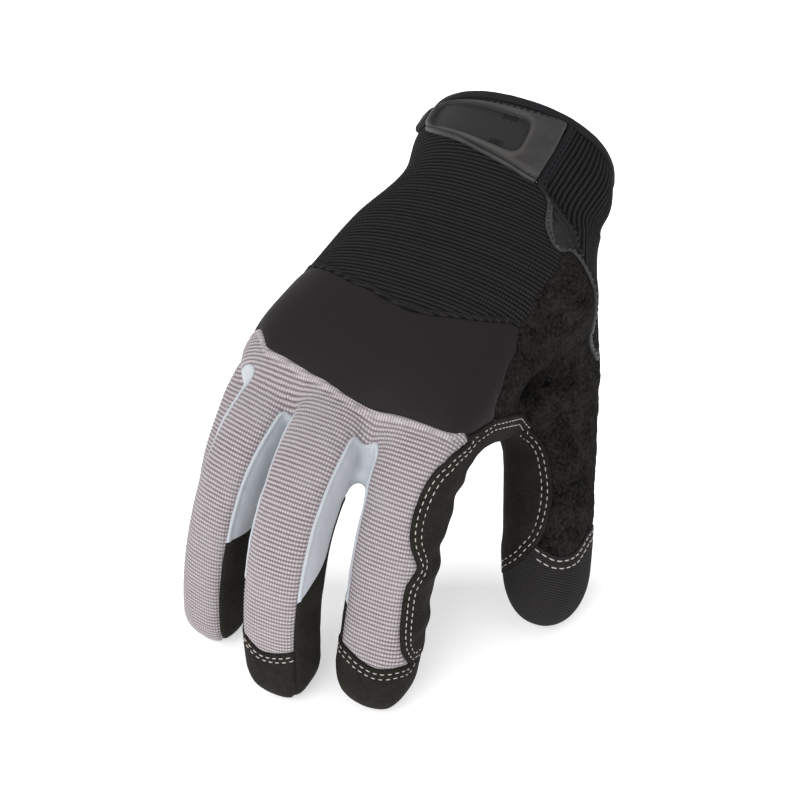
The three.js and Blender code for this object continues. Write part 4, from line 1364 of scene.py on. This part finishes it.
# Closure strap. One rubber moulding wraps the back of the cuff. It has a thin flange sewn
# down with dark thread, a raised body, and a shallow recess with two groups of grip ridges.
STRAP_TOP = table("turn along", (-70, 0.044), (-40, 0.042), (0, 0.037), (44, 0.031), (60, 0.03))
STRAP_FOOT = table("turn along", (-74, 0.104), (-53, 0.143), (-27, 0.166), (-8, 0.18), (10, 0.19),
                   (27, 0.2), (42, 0.21), (60, 0.213))
STRAP_SIDES = table("at low high", (0, -63, 43.5), (0.08, -63, 46), (0.13, -63, 47), (0.25, -63, 47))
RECESS_TOP = table("turn along", (-64, 0.05), (-38, 0.056), (-15, 0.06), (16, 0.066), (30, 0.07))
RECESS_FOOT = table("turn along", (-64, 0.118), (-36, 0.14), (-10, 0.154), (14, 0.162), (30, 0.166))
RECESS_SIDES = table("at low high", (0.04, -59, 19), (0.088, -59, 24), (0.124, -59, 26),
                     (0.18, -59, 26))
GRIPS = ((0.0765, 4, 3.4), (0.148, 4, 3.4))


def finer(cloth):
    """The panel with each triangle cut into four"""
    a, b = cloth.faces.ravel(), np.roll(cloth.faces, -1, axis=1).ravel()
    count = len(cloth.data)
    key, inverse = np.unique(np.minimum(a, b) * count + np.maximum(a, b), return_inverse=True)
    middle = (cloth.data[key // count] + cloth.data[key % count]) / 2
    m, f = (inverse + count).reshape(-1, 3), cloth.faces
    faces = [np.stack([f[:, 0], m[:, 0], m[:, 2]], 1), np.stack([m[:, 0], f[:, 1], m[:, 1]], 1),
             np.stack([m[:, 2], m[:, 1], f[:, 2]], 1), m]
    return Cloth(np.vstack([cloth.data, middle]), np.concatenate(faces))


def strap_area(cloth):
    turn = cloth.angle("palm")
    top = cloth.past_share("palm", smooth(STRAP_TOP, "along", turn, "turn"))
    foot = -cloth.past_share("palm", smooth(STRAP_FOOT, "along", turn, "turn"))
    return bridge(bridge(top, foot, 1), sides(cloth, "palm", STRAP_SIDES), 1)


def recess_area(cloth):
    turn = cloth.angle("palm")
    top = cloth.past_share("palm", smooth(RECESS_TOP, "along", turn, "turn"))
    foot = -cloth.past_share("palm", smooth(RECESS_FOOT, "along", turn, "turn"))
    return bridge(np.minimum(top, foot), sides(cloth, "palm", RECESS_SIDES), 4) + 0.2


def rubber_finish():
    finish = Finish("moulded satin rubber", 0.5, 0, 0.3)
    dust = finish.noise(5, 4, 0.6)
    fine = finish.noise(0.25, 2)
    dusty = finish.ramp(dust, 0.3, 0.7, 0.4, 0.7)
    # Dust patches plus painted highlight on the crests, then painted shade in the grooves and the recess
    wear_dust_and_painted_highlight = finish.math("MULTIPLY_ADD", finish.value("crest"), 0.5, dusty)
    tone = finish.math("MULTIPLY", wear_dust_and_painted_highlight, finish.ramp(finish.value("groove"), 0, 1, 1.0, 0.0))
    finish.set("Base Color", finish.blend(tone, shade(20, 20, 20), shade(68, 66, 65)))
    finish.set("Roughness", finish.ramp(dust, 0.3, 0.7, 0.42, 0.56))
    finish.set("Normal", finish.bump(fine, 0.04, 0.7))
    return finish.material


strap = finer(whole.keep((strap_area(whole)[whole.faces] > -3).all(1)))
strap, _ = cut_out(finer(strap), strap_area, 0.03)
inside = recess_area(strap)
turn = strap.angle("palm")
edge = from_edge(strap)
foot = -strap.past_share("palm", smooth(STRAP_FOOT, "along", turn, "turn"))
top = strap.past_share("palm", smooth(STRAP_TOP, "along", turn, "turn"))
strap_height = 0.3 + 1.25 * dome(edge, 0.8) + 0.85 * rise(foot, 1.7, 2.7) * rise(top, 1.4, 2.2)
strap_height -= 0.3 * bump(foot, 1.6, 0.35)
strap_height += 0.45 * bump(inside, -0.8, 0.8) - 1.3 * rise(inside, -0.3, 0.8)
strap_height += 0.5 * rise(turn, 27, 46) * rise(foot, 2.7, 5)
# Painted shade darkens the recess, the grooves by the flange and the top seam; painted highlight lightens
# the recess's rim, a line on the body and the strap's edge
groove = 0.75 * rise(inside, -0.3, 0.6) + 0.25 * bump(inside, 0.6, 0.6)
groove += 0.9 * bump(foot, 1.6, 0.4) + 0.7 * bump(top, 1.1, 0.35)
crest = bump(inside, -1.0, 0.6) + 0.7 * bump(foot, 3.1, 0.5) + 0.5 * bump(edge, 0.4, 0.4)
for along, centre, half in GRIPS:
    near = rise(half - np.abs(turn - centre) * 0.42, 0, 0.6)
    near = near * rise(1.4 - np.abs(strap.past_share("palm", along)), 0, 0.3)
    ridge = 0.5 + 0.5 * np.cos(np.radians(turn) * 24 * 2 * np.pi / 1.15)
    strap_height += 0.4 * near * ridge
    # Painted shade between the grip ridges, painted highlight on their tops
    groove += 0.5 * near * (1 - ridge)
    crest += 0.5 * near * ridge
seam = lines_at(strap, top, 0.8)
closure_strap = mesh_object("moulded_closure_strap", [
    sewn(strap, strap_height, -0.3, rubber_finish(), groove=groove, crest=crest),
    stitches(seam, 2.6, 1.6, 0.22, 1.5, DARK_THREAD)], 40)
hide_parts("closure_strap")

# Pull tab. A short loop of black tape stands out past the end of the strap.
TAB_SIDES = table("at low high", (0, -80, -63.5), (0.2, -80, -63.5))


def tab_area(cloth):
    along = np.minimum(cloth.past_share("palm", 0.04), -cloth.past_share("palm", 0.098))
    return bridge(along, sides(cloth, "palm", TAB_SIDES), 3)


tab = finer(whole.keep((tab_area(whole)[whole.faces] > -3).all(1)))
tab, _ = cut_out(finer(tab), tab_area, 0.03)
depth = from_edge(tab)
strap_tab = mesh_object("strap_pull_tab", [
    sewn(tab, 0.3 + 1.9 * dome(depth, 2.2) + 0.1 * mottle(tab.points, 2, 81), -0.3, BINDING)])
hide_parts("strap_tab")

# The studio. The glove's fingertips touch a white sweep, under one large soft light at the
# front left and an even white sky. The sweep glows too, a painted light, dimmer under the
# glove and brighter towards the back. The camera has the photograph's angle.
FLOOR_HEIGHT = -0.1183
GLOW_FROM = -114
GLOW_TO = -84
CAMERA_TARGET = Vector((-0.04571, -0.12963, -0.01448))
CAMERA_DISTANCE = 0.76
CAMERA_ELEVATION = math.radians(40)
FIELD = 0.268
SENSOR = 36
KEY_PLACE = Vector((-0.5, -0.75, 0.6))
KEY_SIZE = 0.9
KEY_POWER = 8
SKY_STRENGTH = 0.75

glowing_floor_finish = Finish("white sweep", 0.9)
glowing_floor_finish.set("Base Color", shade(238, 238, 238))
glowing_floor_finish.set("Emission Color", shade(255, 255, 255))
back = glowing_floor_finish.node("SeparateXYZ", {0: glowing_floor_finish.place()}).outputs[1]
# The glow is painted light: dimmer under the glove, so a soft shadow shows there, and brighter towards the
# back, where no shadow shows
glowing_floor_finish.set("Emission Strength", glowing_floor_finish.ramp(back, GLOW_FROM, GLOW_TO, 0.45, 1.0))
sweep = bpy.data.meshes.new("sweep")
sweep.from_pydata([(-3, -3, FLOOR_HEIGHT), (3, -3, FLOOR_HEIGHT), (3, 3, FLOOR_HEIGHT),
                   (-3, 3, FLOOR_HEIGHT)], [], [(0, 1, 2, 3)])
sweep.materials.append(glowing_floor_finish.material)
floor = bpy.data.objects.new("sweep", sweep)
bpy.context.scene.collection.objects.link(floor)

lamp = bpy.data.lights.new("key", "AREA")
lamp.shape = "DISK"
lamp.size = KEY_SIZE
lamp.energy = KEY_POWER
light = bpy.data.objects.new("key", lamp)
light.location = CAMERA_TARGET + KEY_PLACE
light.rotation_euler = (-KEY_PLACE).to_track_quat("-Z", "Y").to_euler()
bpy.context.scene.collection.objects.link(light)
world = bpy.data.worlds.new("studio")
world.use_nodes = True
world.node_tree.nodes["Background"].inputs["Color"].default_value = (1, 1, 1, 1)
world.node_tree.nodes["Background"].inputs["Strength"].default_value = SKY_STRENGTH
bpy.context.scene.world = world
bpy.context.scene.view_settings.view_transform = "Standard"

lens = bpy.data.cameras.new("camera")
lens.sensor_width = SENSOR
lens.lens = SENSOR * CAMERA_DISTANCE / FIELD
camera = bpy.data.objects.new("camera", lens)
camera.location = CAMERA_TARGET + CAMERA_DISTANCE * Vector(
    (0, -math.cos(CAMERA_ELEVATION), math.sin(CAMERA_ELEVATION)))
camera.rotation_euler = (math.pi / 2 - CAMERA_ELEVATION, 0, 0)
bpy.context.scene.collection.objects.link(camera)
bpy.context.scene.camera = camera
